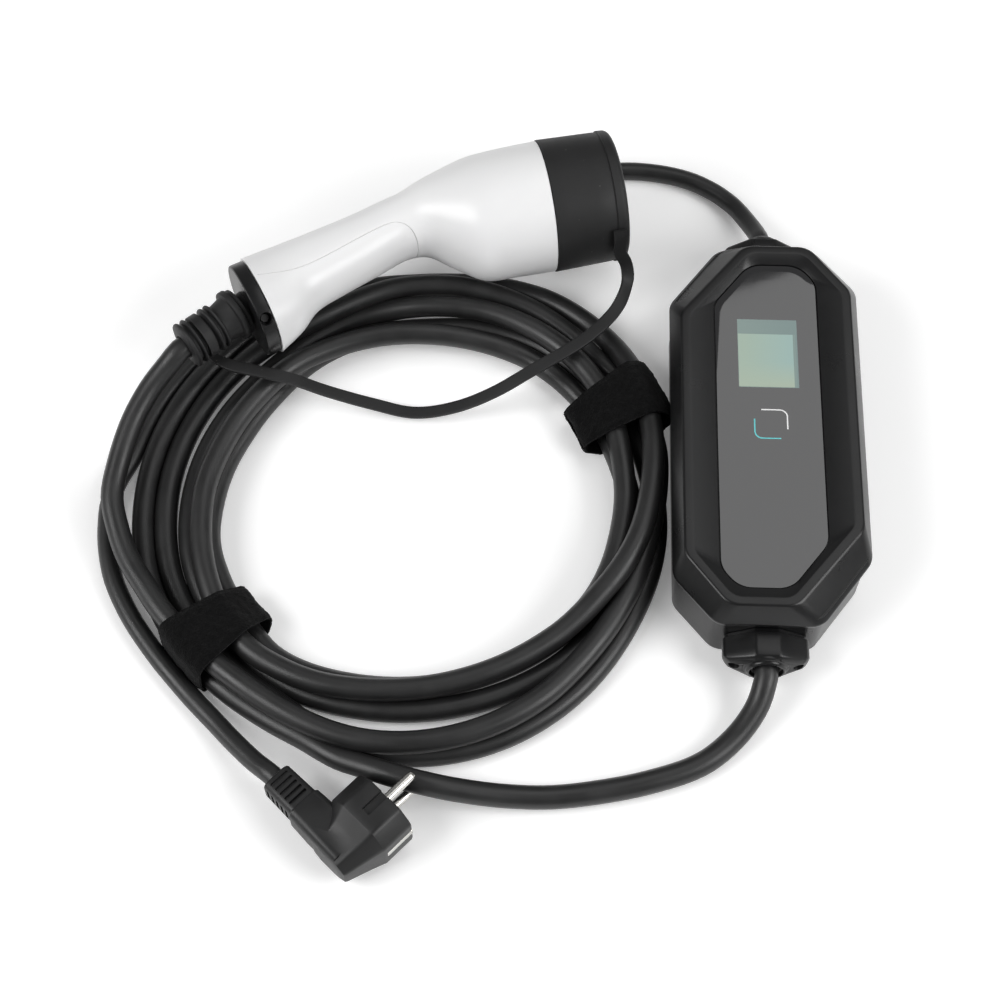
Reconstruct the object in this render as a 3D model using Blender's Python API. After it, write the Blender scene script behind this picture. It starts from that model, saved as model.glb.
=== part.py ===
# Portable charger for electric cars: a control box in the middle, a short mains lead with a
# right-angle plug at one end of it, and a long charging cable, coiled and strapped, with a
# vehicle connector under a tethered rubber cap at the other.
# Units are metres, +Z is up. The origin is the centre of the control box's flat back, on the
# floor, and +Y runs along the box towards its mains gland.

from collections import namedtuple
from math import atan2, ceil, cos, hypot, pi, radians, sin, tan

import bmesh
import bpy
from mathutils import Matrix, Vector

CLEARANCE = 0.0003            # gap left between pieces that touch
FINE = 28                     # sides of large round pieces
MEDIUM = 20
SMALL = 12

# Control box
BOX_HALF_WIDTH = 0.0517       # at the rim, the widest line of the cover
BOX_HALF_LENGTH = 0.1148
BIG_CHAMFER = (0.0275, 0.0374)    # two opposite corners of the octagon, along x and y
SMALL_CHAMFER = (0.0220, 0.0264)  # the other two
PLAN_CORNER_RADIUS = 0.012
RIM_HEIGHT = 0.0383
SKIRT_DEPTH = 0.0026
SKIRT_DRAFT = 0.0005
CREST_HEIGHT = 0.0511
CREST_INSET = 0.0054          # how far the crest stands in from the rim
CREST_BIG_CHAMFER = (0.0363, 0.0451)
CREST_SMALL_CHAMFER = (0.0220, 0.0286)
CREST_WIDTH = 0.0044
CREST_EDGE = 0.0009
GLASS_SIDE_MARGIN = 0.0239    # from the rim to the glass
GLASS_END_MARGIN = 0.0165
GLASS_HALF_WIDTH = BOX_HALF_WIDTH - GLASS_SIDE_MARGIN
GLASS_HALF_LENGTH = BOX_HALF_LENGTH - GLASS_END_MARGIN
GLASS_BIG_CHAMFER = (0.0198, 0.0260)
GLASS_SMALL_CHAMFER = (0.0090, 0.0110)
GLASS_CORNER_RADIUS = 0.014
GLASS_THICKNESS = 0.0012
GLASS_TOP = 0.0481
GLASS_RECESS = 0.0004         # the glass lies this far below the lip around it
GLASS_MARGIN = 0.0004
BASE_INSET = 0.0025           # base wall, in from the rim
BASE_EDGE = 0.0020
BASE_WALL = 0.0030
FLOOR = 0.0030
COVER_WALL = 0.0025
COVER_ROOF = 0.0024
GASKET_HEIGHT = 0.0010
GASKET_WIDTH = 0.0021
COVER_LEDGE = 0.0413          # underside of the cover where it meets the gasket
WINDOW_SIZE = (0.0336, 0.0442)
WINDOW_CENTRE = (0.0004, 0.0414)
SCREW_SIDE_MARGIN = 0.0132    # from the rim to the case screws
SCREW_END_MARGIN = 0.0388
SCREW_X = BOX_HALF_WIDTH - SCREW_SIDE_MARGIN
SCREW_Y = BOX_HALF_LENGTH - SCREW_END_MARGIN
BOSS_RADIUS = 0.0053
COUNTERBORE_RADIUS = 0.0037
COUNTERBORE_DEPTH = 0.0200
BOSS_TOP = 0.0280
COVER_POST_RADIUS = 0.0045
SCREW_RADIUS = 0.0015
SCREW_HEAD_RADIUS = 0.0030
SCREW_HEAD_HEIGHT = 0.0024
SCREW_LENGTH = 0.0160

# Electronics
BOARD_END_MARGIN = 0.0348     # from the rim to the board's end
BOARD_SIZE = (0.0620, 2 * (BOX_HALF_LENGTH - BOARD_END_MARGIN), 0.0016)
BOARD_POST_RADIUS = 0.0030
BOARD_POST_HEIGHT = 0.0050
BOARD_POST_SIDE = 0.0050      # from the board's side to the middle of a post
BOARD_POST_END = 0.0080
BOARD_POST_X = BOARD_SIZE[0] / 2 - BOARD_POST_SIDE
BOARD_POST_Y = BOARD_SIZE[1] / 2 - BOARD_POST_END
RELAY_SIZE = (0.0240, 0.0300, 0.0220)
TERMINAL_SIZE = (0.0380, 0.0140, 0.0130)
TRANSFORMER_SIZE = (0.0260, 0.0300, 0.0200)
SENSOR_OUTER = 0.0125
SENSOR_INNER = 0.0065
SENSOR_HEIGHT = 0.0110
DISPLAY_BOARD_SIZE = (0.0460, 0.0880, 0.0012)
DISPLAY_BOARD_Y = 0.0300
DISPLAY_POST_RADIUS = 0.0025
DISPLAY_BODY_MARGIN = 0.0035
DISPLAY_BODY_HEIGHT = 0.0032

# Cable clamps at the two ends of the box
GLAND_HEIGHT = 0.0190         # axis above the back
CLAMP_HALF_WIDTH = 0.0224
CLAMP_HALF_HEIGHT = 0.0125
CLAMP_SIDE_HALF_HEIGHT = 0.0030
CLAMP_TOP_HALF_WIDTH = 0.0055
CLAMP_LENGTH = 0.0182
CLAMP_CORNER = 0.0045         # the front is rounded back by this at both sides
CLAMP_FLANGE = 0.0024
CLAMP_FLANGE_INSET = 0.0016
CLAMP_EDGE = 0.0015
CLAMP_COLLAR_RADIUS = 0.0116
CLAMP_COLLAR_LENGTH = 0.0016
CLAMP_SCREW_X = 0.0172
CLAMP_SCREW_TILT = 8.0        # degrees, towards the middle of the block
CLAMP_SCREW_HOLE = 0.0026
CLAMP_SCREW_HEAD = 0.0021
CLAMP_SCREW_SHAFT = 0.0013
CLAMP_SCREW_DEPTH = 0.0060
SEAL_RADIUS = 0.0088
SEAL_STEP = 0.0030

# Cables
EV_CABLE_RADIUS = 0.00615
MAINS_CABLE_RADIUS = 0.00530
CABLE_FIT = 0.0004            # round a cable, in a seal or a strain relief
CABLE_ENTRY = 0.0060          # length of cable drawn inside a gland

# Vehicle connector, lying on its side: its middle plane is level
CONNECTOR_ORIGIN = (-0.1215, 0.1329, 0.0506)  # centre of the line between cap and head
CONNECTOR_TURN = 13.2         # degrees, from +X to the direction the mouth faces
# Stations of the grip: along the axis, sideways, half width in the middle plane, half
# thickness, and degrees that the section leans.
STATIONS = (
    (0.0000, 0.0000, 0.0366, 0.0366, 0.0),
    (-0.0224, -0.0004, 0.0355, 0.0355, 0.0),
    (-0.0402, -0.0009, 0.0340, 0.0335, 1.0),
    (-0.0573, 0.0016, 0.0256, 0.0280, 5.0),
    (-0.0686, 0.0035, 0.0192, 0.0235, 10.0),
    (-0.0761, 0.0025, 0.0168, 0.0205, 14.0),
    (-0.0858, 0.0004, 0.0163, 0.0190, 17.0),
    (-0.1049, -0.0068, 0.0175, 0.0185, 18.5),
    (-0.1251, -0.0138, 0.0190, 0.0185, 19.5),
    (-0.1415, -0.0199, 0.0208, 0.0190, 20.0),
    (-0.1526, -0.0270, 0.0250, 0.0207, 19.0),
    (-0.1647, -0.0337, 0.0274, 0.0243, 16.0),
)
GRIP_RINGS = 19
GRIP_SIDES = 26
SHELL_WALL = 0.0024
SHELL_LIP = 0.0009            # rounding of the head's front edge
SEAM = (
    (-0.1790, -0.0135),
    (-0.1620, -0.0129),
    (-0.1380, -0.0044),
    (-0.1110, 0.0019),
    (-0.0810, 0.0079),
    (-0.0745, 0.0044),
    (-0.0685, 0.0002),
    (-0.0580, -0.0083),
    (-0.0365, -0.0140),
    (0.0100, -0.0139),
)
SHROUD_RADIUS = 0.0334
SHROUD_LENGTH = 0.0360
SHROUD_WALL = 0.0026
SHROUD_SPIGOT = 0.0140
SHROUD_WEB = 0.0030
CARRIER_RADIUS = 0.0275
CARRIER_LENGTH = 0.0330
CARRIER_FLANGE = 0.0030
CARRIER_FLAT = 0.0225         # height of the flat that keys the mouth
FLAT_START = 0.0010           # the flat starts this far in front of the flange
POWER_SLEEVE_RADIUS = 0.0038
POWER_PIN_RADIUS = 0.0030
PILOT_SLEEVE_RADIUS = 0.0024
PILOT_PIN_RADIUS = 0.0015
SLEEVE_LENGTH = 0.0400
SLEEVE_RECESS = 0.0030
CAP_REAR_RADIUS = 0.0370
CAP_FRONT_RADIUS = 0.0358
CAP_LENGTH = 0.0409
CAP_WALL = 0.0030
CAP_EDGE = 0.0030
CAP_LIP = 0.0036
COLLAR_LENGTH = 0.0080
COLLAR_INSET = 0.0012
COLLAR_EDGE = 0.0008
RELIEF_ORIGIN = (-0.1772, -0.0353)
RELIEF_TURN = 27.4
RELIEF_NECK_RADIUS = 0.0090
RELIEF_NECK_LENGTH = 0.0140
RELIEF_FLANGE_RADIUS = 0.0146
RELIEF_CORE_RADIUS = 0.0108
RELIEF_DISC_RADIUS = 0.0131
RELIEF_LENGTH = 0.0360
COLLAR_HOLE_RADIUS = 0.0032
COLLAR_HOLE_ANGLE = 137.0     # degrees round the collar, from the back of the grip
COLLAR_HOLE_DEPTH = 0.0060
COLLAR_SCREW_HEAD = 0.0027
HEAD_SCREW_RADIUS = 0.0016

# Tether of the cap
TETHER_WIDTH = 0.0070
TETHER_THICKNESS = 0.0020
TETHER_RING_WIDTH = 0.0050

# Coil and its straps
COIL_CENTRE = (-0.1943, -0.0341)
COIL_INNER = 0.0980
COIL_OUTER = 0.1440
COIL_BOTTOM = 0.0023
COIL_TOP = 0.0260
COIL_SHOULDER_RADIUS = 0.1310
COIL_SHOULDER = 0.0148
COIL_ROUND = 0.0055
STRAP_THICKNESS = 0.0016
STRAP_HALF_ANGLE = 6.9        # degrees about the coil's centre
STRAP_ANGLES = (26.0, 221.7)

# Mains plug, lying on its side: one pin over the other
PLUG_ORIGIN = (-0.1924, -0.2089, 0.0185)  # where the pins leave the face, between them
PLUG_TURN = 47.0              # degrees, direction of the pins
PIN_SPACING = 0.0190
PIN_RADIUS = 0.0024
PIN_LENGTH = 0.0190
PIN_ROOT = 0.0060
PLUG_RADIUS = 0.0185
PLUG_FACE = 0.0000
PLUG_BODY = 0.0190
PLUG_BACK = 0.0400
PLUG_BACK_HALF = (0.0120, 0.0100)
PLUG_CORNER = 0.42            # share of each side that a cut corner takes
ARM_AXIS = 0.0292             # behind the face
ARM_HALF_WIDTH = 0.0098
ARM_HALF_HEIGHT = 0.0105
ARM_STEP = 0.0290
ARM_END = 0.0490
ARM_END_HALF = 0.0082
SLOT_COUNT = 5
SLOT_PITCH = 0.0034
SLOT_WIDTH = 0.0017
SLOT_DEPTH = 0.0022
EARTH_STRIP = (0.0008, 0.0170, 0.0050)
GUIDE_WIDTH = 0.0050
GUIDE_DEPTH = 0.0030

Plan = namedtuple("Plan", "half_width half_length big small radius")


def empty_scene():
    for item in list(bpy.data.objects):
        bpy.data.objects.remove(item, do_unlink=True)


def material(name, colour, roughness, metallic=0.0):
    made = bpy.data.materials.new(name)
    made.use_nodes = True
    shader = made.node_tree.nodes["Principled BSDF"]
    shader.inputs["Base Color"].default_value = (*colour, 1.0)
    shader.inputs["Roughness"].default_value = roughness
    shader.inputs["Metallic"].default_value = metallic
    return made


def add_object(name, bm, look, place=None, smooth_angle=30.0):
    """Turn a bmesh into a named object, with its faces pointing out."""
    bmesh.ops.recalc_face_normals(bm, faces=bm.faces)
    mesh = bpy.data.meshes.new(name)
    bm.to_mesh(mesh)
    bm.free()
    mesh.shade_smooth()
    mesh.set_sharp_from_angle(angle=radians(smooth_angle))
    mesh.materials.append(look)
    made = bpy.data.objects.new(name, mesh)
    if place is not None:
        made.matrix_world = place
    bpy.context.scene.collection.objects.link(made)
    return made


def guide(name, bm, place=None):
    """A cutter or a joined form: it shapes another object and isn't a piece itself."""
    made = add_object(name, bm, GUIDE_LOOK, place)
    made.hide_render = True
    made.display_type = "WIRE"
    return made


def boolean(target, tool, operation):
    step = target.modifiers.new(operation.title() + " " + tool.name, "BOOLEAN")
    step.operation = operation
    step.solver = "EXACT"
    step.object = tool
    return step


def cut(target, *tools):
    for tool in tools:
        boolean(target, tool, "DIFFERENCE")


def join(target, *tools):
    for tool in tools:
        boolean(target, tool, "UNION")


def rounded(corners, radius, steps=3):
    """A closed outline with each corner replaced by an arc."""
    points = []
    count = len(corners)
    for index, corner in enumerate(corners):
        here = Vector(corner)
        before = Vector(corners[index - 1]) - here
        after = Vector(corners[(index + 1) % count]) - here
        half_angle = before.angle(after) / 2
        reach = min(radius / tan(half_angle), before.length * 0.49, after.length * 0.49)
        true_radius = reach * tan(half_angle)
        bisector = (before.normalized() + after.normalized()).normalized()
        centre = here + bisector * (true_radius / sin(half_angle))
        start = here + before.normalized() * reach - centre
        end = here + after.normalized() * reach - centre
        sweep = start.angle(end)
        turn = 1 if start.x * end.y - start.y * end.x > 0 else -1
        first = atan2(start.y, start.x)
        for step in range(steps + 1):
            angle = first + turn * sweep * step / steps
            points.append((centre.x + true_radius * cos(angle), centre.y + true_radius * sin(angle)))
    return points


def plan_outline(plan):
    """An octagon whose big chamfers lie on one diagonal and whose small ones on the other."""
    w, l = plan.half_width, plan.half_length
    (bx, by), (sx, sy) = plan.big, plan.small
    corners = [(w - bx, -l), (w, -l + by), (w, l - sy), (w - sx, l),
               (-w + bx, l), (-w, l - by), (-w, -l + sy), (-w + sx, -l)]
    return rounded(corners, plan.radius)


def inset(plan, distance):
    """The same octagon with every side moved in by a distance."""
    def shrink(chamfer):
        x, y = chamfer
        excess = x + y - hypot(x, y)
        return (x - distance * excess / y, y - distance * excess / x)
    return Plan(plan.half_width - distance, plan.half_length - distance,
                shrink(plan.big), shrink(plan.small), max(0.001, plan.radius - distance / 2))


def blend(low, high, share):
    def mix(a, b):
        return a + (b - a) * share
    return Plan(mix(low.half_width, high.half_width), mix(low.half_length, high.half_length),
                tuple(mix(a, b) for a, b in zip(low.big, high.big)),
                tuple(mix(a, b) for a, b in zip(low.small, high.small)),
                mix(low.radius, high.radius))


def loft(rings):
    """A closed solid through rings with equal numbers of points."""
    bm = bmesh.new()
    rows = [[bm.verts.new(point) for point in ring] for ring in rings]
    for low, high in zip(rows, rows[1:]):
        for index in range(len(low)):
            after = (index + 1) % len(low)
            bm.faces.new((low[index], low[after], high[after], high[index]))
    bm.faces.new(list(reversed(rows[0])))
    bm.faces.new(rows[-1])
    return bm


def closed_loft(rings):
    """The same, with the last ring joined to the first, as in a band."""
    bm = bmesh.new()
    rows = [[bm.verts.new(point) for point in ring] for ring in rings]
    for low, high in zip(rows, rows[1:] + rows[:1]):
        for index in range(len(low)):
            after = (index + 1) % len(low)
            bm.faces.new((low[index], low[after], high[after], high[index]))
    return bm


def levels(*steps):
    """A loft up +Z through (height, plan) steps."""
    return loft([[(x, y, height) for x, y in plan_outline(plan)] for height, plan in steps])


def turned(profile, sides=FINE):
    """A closed profile of (radius, height) points turned about +Z."""
    bm = bmesh.new()
    rows = []
    for radius, height in profile:
        if radius < 1e-7:
            rows.append(height)
        else:
            rows.append([bm.verts.new((radius * cos(2 * pi * k / sides),
                                       radius * sin(2 * pi * k / sides), height))
                         for k in range(sides)])
    for low, high in zip(rows, rows[1:] + rows[:1]):
        if isinstance(low, list) and isinstance(high, list):
            for k in range(sides):
                n = (k + 1) % sides
                bm.faces.new((low[k], low[n], high[n], high[k]))
        elif isinstance(low, list) or isinstance(high, list):
            row, height = (low, high) if isinstance(low, list) else (high, low)
            if abs(row[0].co.z - height) < 1e-7:
                bm.faces.new(row)
            else:
                tip = bm.verts.new((0, 0, height))
                for k in range(sides):
                    bm.faces.new((row[k], row[(k + 1) % sides], tip))
    return bm


def rod(radius, bottom, top, sides=MEDIUM):
    return turned([(0, bottom), (radius, bottom), (radius, top), (0, top)], sides)


def tube_profile(outer, inner, bottom, top):
    return [(outer, bottom), (outer, top), (inner, top), (inner, bottom)]


def block(size, centre, edge=0.0):
    """A box by its size and centre, with its edges bevelled."""
    bm = bmesh.new()
    bmesh.ops.create_cube(bm, size=1.0)
    bmesh.ops.scale(bm, vec=size, verts=bm.verts)
    bmesh.ops.translate(bm, vec=centre, verts=bm.verts)
    if edge:
        bmesh.ops.bevel(bm, geom=list(bm.edges), offset=edge, segments=1, affect="EDGES",
                        clamp_overlap=True)
    return bm


def frame_to(position, axis, up=(0, 0, 1)):
    """A placement whose +Z runs along an axis."""
    z = Vector(axis).normalized()
    y = Vector(up) - z * z.dot(Vector(up))
    if y.length < 1e-4:
        y = Vector((0, 1, 0)) - z * z.y
    y.normalize()
    x = y.cross(z)
    placed = Matrix((x, y, z)).transposed().to_4x4()
    placed.translation = Vector(position)
    return placed


def hermite(knots, values, where):
    """A smooth curve through values given at rising knots, by finite-difference slopes."""
    count = len(knots)
    slopes = []
    for i in range(count):
        a, b = max(0, i - 1), min(count - 1, i + 1)
        slopes.append((values[b] - values[a]) / (knots[b] - knots[a]))
    i = max(0, min(count - 2, sum(1 for knot in knots[1:-1] if knot <= where)))
    span = knots[i + 1] - knots[i]
    t = (where - knots[i]) / span
    return ((2 * t ** 3 - 3 * t ** 2 + 1) * values[i] + (t ** 3 - 2 * t ** 2 + t) * span * slopes[i]
            + (3 * t ** 2 - 2 * t ** 3) * values[i + 1] + (t ** 3 - t ** 2) * span * slopes[i + 1])


def smooth_route(points, spacing):
    """Evenly spaced points on a smooth curve through a cable's route."""
    nodes = [Vector(point) for point in points]
    knots = [0.0]
    for a, b in zip(nodes, nodes[1:]):
        knots.append(knots[-1] + (b - a).length)
    fine = max(2, int(ceil(knots[-1] / (spacing / 8))))
    dense = [Vector([hermite(knots, [node[axis] for node in nodes], knots[-1] * k / fine)
                     for axis in range(3)]) for k in range(fine + 1)]
    run = [0.0]
    for a, b in zip(dense, dense[1:]):
        run.append(run[-1] + (b - a).length)
    count = max(2, int(round(run[-1] / spacing)))
    route = []
    index = 0
    for k in range(count + 1):
        target = run[-1] * k / count
        while index < len(run) - 2 and run[index + 1] < target:
            index += 1
        share = (target - run[index]) / max(1e-12, run[index + 1] - run[index])
        route.append(dense[index].lerp(dense[index + 1], min(1.0, share)))
    return route


def cable(name, points, radius, look, held=(1, 0), resolution=2):
    """A round cable on a poly spline with filled ends. A held end starts with a straight
    stretch between its first two points, inside a gland."""
    curve = bpy.data.curves.new(name, "CURVE")
    curve.dimensions = "3D"
    curve.bevel_depth = radius
    curve.bevel_resolution = resolution
    curve.use_fill_caps = True
    first, last = held
    route = points[:first] + smooth_route(points[first:len(points) - last], radius * 4)
    route += points[len(points) - last:]
    spline = curve.splines.new("POLY")
    spline.points.add(len(route) - 1)
    for point, place in zip(spline.points, route):
        point.co = (*place, 1.0)
    curve.materials.append(look)
    made = bpy.data.objects.new(name, curve)
    bpy.context.scene.collection.objects.link(made)
    return made


empty_scene()
GUIDE_LOOK = material("guide", (0.8, 0.2, 0.2), 0.5)
HOUSING = material("black_housing", (0.022, 0.022, 0.024), 0.42)
GLASS = material("tinted_glass", (0.060, 0.061, 0.064), 0.08)
SCREEN = material("display", (0.36, 0.52, 0.46), 0.25)
WHITE = material("white_shell", (0.80, 0.80, 0.81), 0.38)
RUBBER = material("black_rubber", (0.020, 0.020, 0.021), 0.62)
CABLE = material("cable_jacket", (0.024, 0.024, 0.026), 0.50)
INSULATOR = material("insulator", (0.030, 0.030, 0.032), 0.5)
NICKEL = material("nickel", (0.72, 0.71, 0.68), 0.25, 1.0)
STEEL = material("zinc_steel", (0.60, 0.60, 0.60), 0.35, 1.0)
HOOK_LOOP = material("hook_and_loop", (0.018, 0.018, 0.019), 0.95)
SEAL = material("seal_rubber", (0.030, 0.030, 0.030), 0.7)
BOARD = material("circuit_board", (0.030, 0.130, 0.060), 0.5)
RELAY = material("relay_case", (0.03, 0.03, 0.035), 0.4)
TERMINAL = material("terminal_case", (0.10, 0.28, 0.14), 0.45)
FERRITE = material("ferrite", (0.10, 0.09, 0.08), 0.6)
WINDING = material("winding_tape", (0.55, 0.45, 0.10), 0.5)

# Control box: the cover slopes from its rim up to a crest and then down to the glass.
rim = Plan(BOX_HALF_WIDTH, BOX_HALF_LENGTH, BIG_CHAMFER, SMALL_CHAMFER, PLAN_CORNER_RADIUS)
crest = Plan(BOX_HALF_WIDTH - CREST_INSET, BOX_HALF_LENGTH - CREST_INSET,
             CREST_BIG_CHAMFER, CREST_SMALL_CHAMFER, PLAN_CORNER_RADIUS)
glass = Plan(GLASS_HALF_WIDTH, GLASS_HALF_LENGTH, GLASS_BIG_CHAMFER, GLASS_SMALL_CHAMFER,
             GLASS_CORNER_RADIUS)
base = inset(rim, BASE_INSET)
recess = inset(glass, -GLASS_MARGIN)
recess_floor = GLASS_TOP - GLASS_THICKNESS - CLEARANCE
lip_height = GLASS_TOP + GLASS_RECESS
roof = recess_floor - COVER_ROOF
skirt_bottom = RIM_HEIGHT - SKIRT_DEPTH
base_top = COVER_LEDGE - GASKET_HEIGHT - 2 * CLEARANCE
screw_places = [(sx * SCREW_X, sy * SCREW_Y) for sx in (-1, 1) for sy in (-1, 0, 1)]


def slope_plan(height):
    """The cover's outline at a height between rim and crest."""
    return blend(rim, crest, (height - RIM_HEIGHT) / (CREST_HEIGHT - RIM_HEIGHT))


cover = add_object("front_cover", levels(
    (skirt_bottom, inset(rim, SKIRT_DRAFT)),
    (RIM_HEIGHT - CREST_EDGE, rim),
    (RIM_HEIGHT, inset(rim, CREST_EDGE / 4)),
    (CREST_HEIGHT - CREST_EDGE, slope_plan(CREST_HEIGHT - CREST_EDGE)),
    (CREST_HEIGHT, inset(crest, CREST_EDGE * 0.8)),
    (CREST_HEIGHT, inset(crest, CREST_WIDTH - CREST_EDGE)),
    (CREST_HEIGHT - CREST_EDGE * 0.5, inset(crest, CREST_WIDTH)),
    (lip_height, recess),
    (recess_floor, recess),
), HOUSING)
inner_roof = inset(slope_plan(roof), COVER_WALL)
cavity = guide("cover_cavity", levels(
    (skirt_bottom - 0.004, inset(base, -CLEARANCE)),
    (COVER_LEDGE, inset(base, -CLEARANCE)),
    (COVER_LEDGE, inner_roof),
    (roof, inner_roof),
))
window = guide("cover_window", block(
    (*WINDOW_SIZE, 4 * COVER_ROOF), (*WINDOW_CENTRE, recess_floor - COVER_ROOF / 2)))
cut(cover, cavity, window)
for number, (x, y) in enumerate(screw_places):
    post = guide(f"cover_post_{number}", rod(
        COVER_POST_RADIUS, BOSS_TOP + CLEARANCE, roof + COVER_ROOF / 2, SMALL),
        Matrix.Translation((x, y, 0)))
    join(cover, post)
for number, (x, y) in enumerate(screw_places):
    pilot = guide(f"cover_pilot_{number}", rod(
        SCREW_RADIUS + CLEARANCE, BOSS_TOP - 0.001,
        COUNTERBORE_DEPTH + SCREW_LENGTH + 0.001, 10), Matrix.Translation((x, y, 0)))
    cut(cover, pilot)
display_board_top = roof - DISPLAY_BODY_HEIGHT - 2 * CLEARANCE
for number, (sx, sy) in enumerate(((-1, -1), (1, -1), (-1, 1), (1, 1))):
    x = WINDOW_CENTRE[0] + sx * (DISPLAY_BOARD_SIZE[0] / 2 - DISPLAY_POST_RADIUS)
    y = DISPLAY_BOARD_Y + sy * (DISPLAY_BOARD_SIZE[1] / 2 - DISPLAY_POST_RADIUS)
    join(cover, guide(f"display_post_{number}", rod(
        DISPLAY_POST_RADIUS, display_board_top + CLEARANCE, roof + COVER_ROOF / 2, 10),
        Matrix.Translation((x, y, 0))))

add_object("front_glass", levels(
    (recess_floor + CLEARANCE, glass),
    (GLASS_TOP - 0.0003, glass),
    (GLASS_TOP, inset(glass, 0.0003)),
), GLASS)

display = add_object("lcd_display", block(
    (WINDOW_SIZE[0] + 2 * DISPLAY_BODY_MARGIN, WINDOW_SIZE[1] + 2 * DISPLAY_BODY_MARGIN,
     DISPLAY_BODY_HEIGHT),
    (*WINDOW_CENTRE, roof - CLEARANCE - DISPLAY_BODY_HEIGHT / 2)), SCREEN)
join(display, guide("lcd_face", block(
    (WINDOW_SIZE[0] - 2 * CLEARANCE, WINDOW_SIZE[1] - 2 * CLEARANCE, COVER_ROOF + DISPLAY_BODY_HEIGHT),
    (*WINDOW_CENTRE, recess_floor - (COVER_ROOF + DISPLAY_BODY_HEIGHT) / 2))))
add_object("display_board", block(
    DISPLAY_BOARD_SIZE,
    (WINDOW_CENTRE[0], DISPLAY_BOARD_Y, display_board_top - DISPLAY_BOARD_SIZE[2] / 2)), BOARD)

# Base: a tub with deep counterbored screw bosses and a cable hole in each end wall.
housing = add_object("base_shell", levels(
    (0.0, inset(base, BASE_EDGE * 0.75)),
    (BASE_EDGE * 0.3, inset(base, BASE_EDGE * 0.25)),
    (BASE_EDGE, base),
    (base_top, base),
), HOUSING)
base_inner = inset(base, BASE_WALL)
cut(housing, guide("base_cavity", levels((FLOOR, base_inner), (base_top + 0.002, base_inner))))
for number, (x, y) in enumerate(screw_places):
    join(housing, guide(f"base_boss_{number}", rod(
        BOSS_RADIUS, FLOOR / 2, BOSS_TOP, 16), Matrix.Translation((x, y, 0))))
board_bottom = FLOOR + BOARD_POST_HEIGHT + CLEARANCE
for number, (sx, sy) in enumerate(((-1, -1), (1, -1), (-1, 1), (1, 1))):
    join(housing, guide(f"board_post_{number}", rod(
        BOARD_POST_RADIUS, FLOOR / 2, FLOOR + BOARD_POST_HEIGHT, 10),
        Matrix.Translation((sx * BOARD_POST_X, sy * BOARD_POST_Y, 0))))
for number, (x, y) in enumerate(screw_places):
    cut(housing, guide(f"base_bore_{number}", turned([
        (0, -0.001), (COUNTERBORE_RADIUS, -0.001), (COUNTERBORE_RADIUS, COUNTERBORE_DEPTH),
        (SCREW_RADIUS + CLEARANCE, COUNTERBORE_DEPTH),
        (SCREW_RADIUS + CLEARANCE, BOSS_TOP + 0.001), (0, BOSS_TOP + 0.001)], 14),
        Matrix.Translation((x, y, 0))))
    head = COUNTERBORE_DEPTH - CLEARANCE
    add_object(f"case_screw_{number + 1}", turned([
        (0, head - SCREW_HEAD_HEIGHT), (SCREW_HEAD_RADIUS * 0.8, head - SCREW_HEAD_HEIGHT),
        (SCREW_HEAD_RADIUS, head - SCREW_HEAD_HEIGHT * 0.6), (SCREW_HEAD_RADIUS, head),
        (SCREW_RADIUS, head), (SCREW_RADIUS, head + SCREW_LENGTH * 0.9),
        (0, head + SCREW_LENGTH)], 8), STEEL, Matrix.Translation((x, y, 0)))

gasket_outer = inset(base, CLEARANCE)
gasket = add_object("cover_gasket", levels(
    (base_top + CLEARANCE, gasket_outer), (base_top + CLEARANCE + GASKET_HEIGHT, gasket_outer)), SEAL)
gasket_inner = inset(gasket_outer, GASKET_WIDTH)
cut(gasket, guide("gasket_middle", levels(
    (base_top - 0.001, gasket_inner), (COVER_LEDGE + 0.001, gasket_inner))))

# Electronics
add_object("main_board", block(BOARD_SIZE, (0, 0, board_bottom + BOARD_SIZE[2] / 2)), BOARD)
board_top = board_bottom + BOARD_SIZE[2] + CLEARANCE


def on_board(size, x, y):
    return (x, y, board_top + size[2] / 2)


relay_x = (BOARD_SIZE[0] / 2 - RELAY_SIZE[0] / 2 - 0.002)
add_object("relay_line", block(RELAY_SIZE, on_board(RELAY_SIZE, -relay_x, -0.030), 0.001), RELAY)
add_object("relay_neutral", block(RELAY_SIZE, on_board(RELAY_SIZE, relay_x, -0.030), 0.001), RELAY)
terminal_y = BOARD_SIZE[1] / 2 - TERMINAL_SIZE[1] / 2 - 0.003
for name, y in (("terminal_mains", terminal_y), ("terminal_outlet", -terminal_y)):
    terminal = add_object(name, block(TERMINAL_SIZE, on_board(TERMINAL_SIZE, 0, y), 0.0006), TERMINAL)
    for k in (-1, 0, 1):
        cut(terminal, guide(f"{name}_hole_{k + 1}", rod(0.0030, board_top + 0.004, board_top + 0.020, 12),
                            Matrix.Translation((k * TERMINAL_SIZE[0] / 3, y, 0))))
add_object("supply_transformer", block(
    TRANSFORMER_SIZE, on_board(TRANSFORMER_SIZE, -relay_x, 0.020), 0.0015), WINDING)
add_object("leakage_sensor", turned(
    tube_profile(SENSOR_OUTER, SENSOR_INNER, board_top, board_top + SENSOR_HEIGHT), MEDIUM),
    FERRITE, Matrix.Translation((relay_x, 0.020, 0)))

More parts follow.
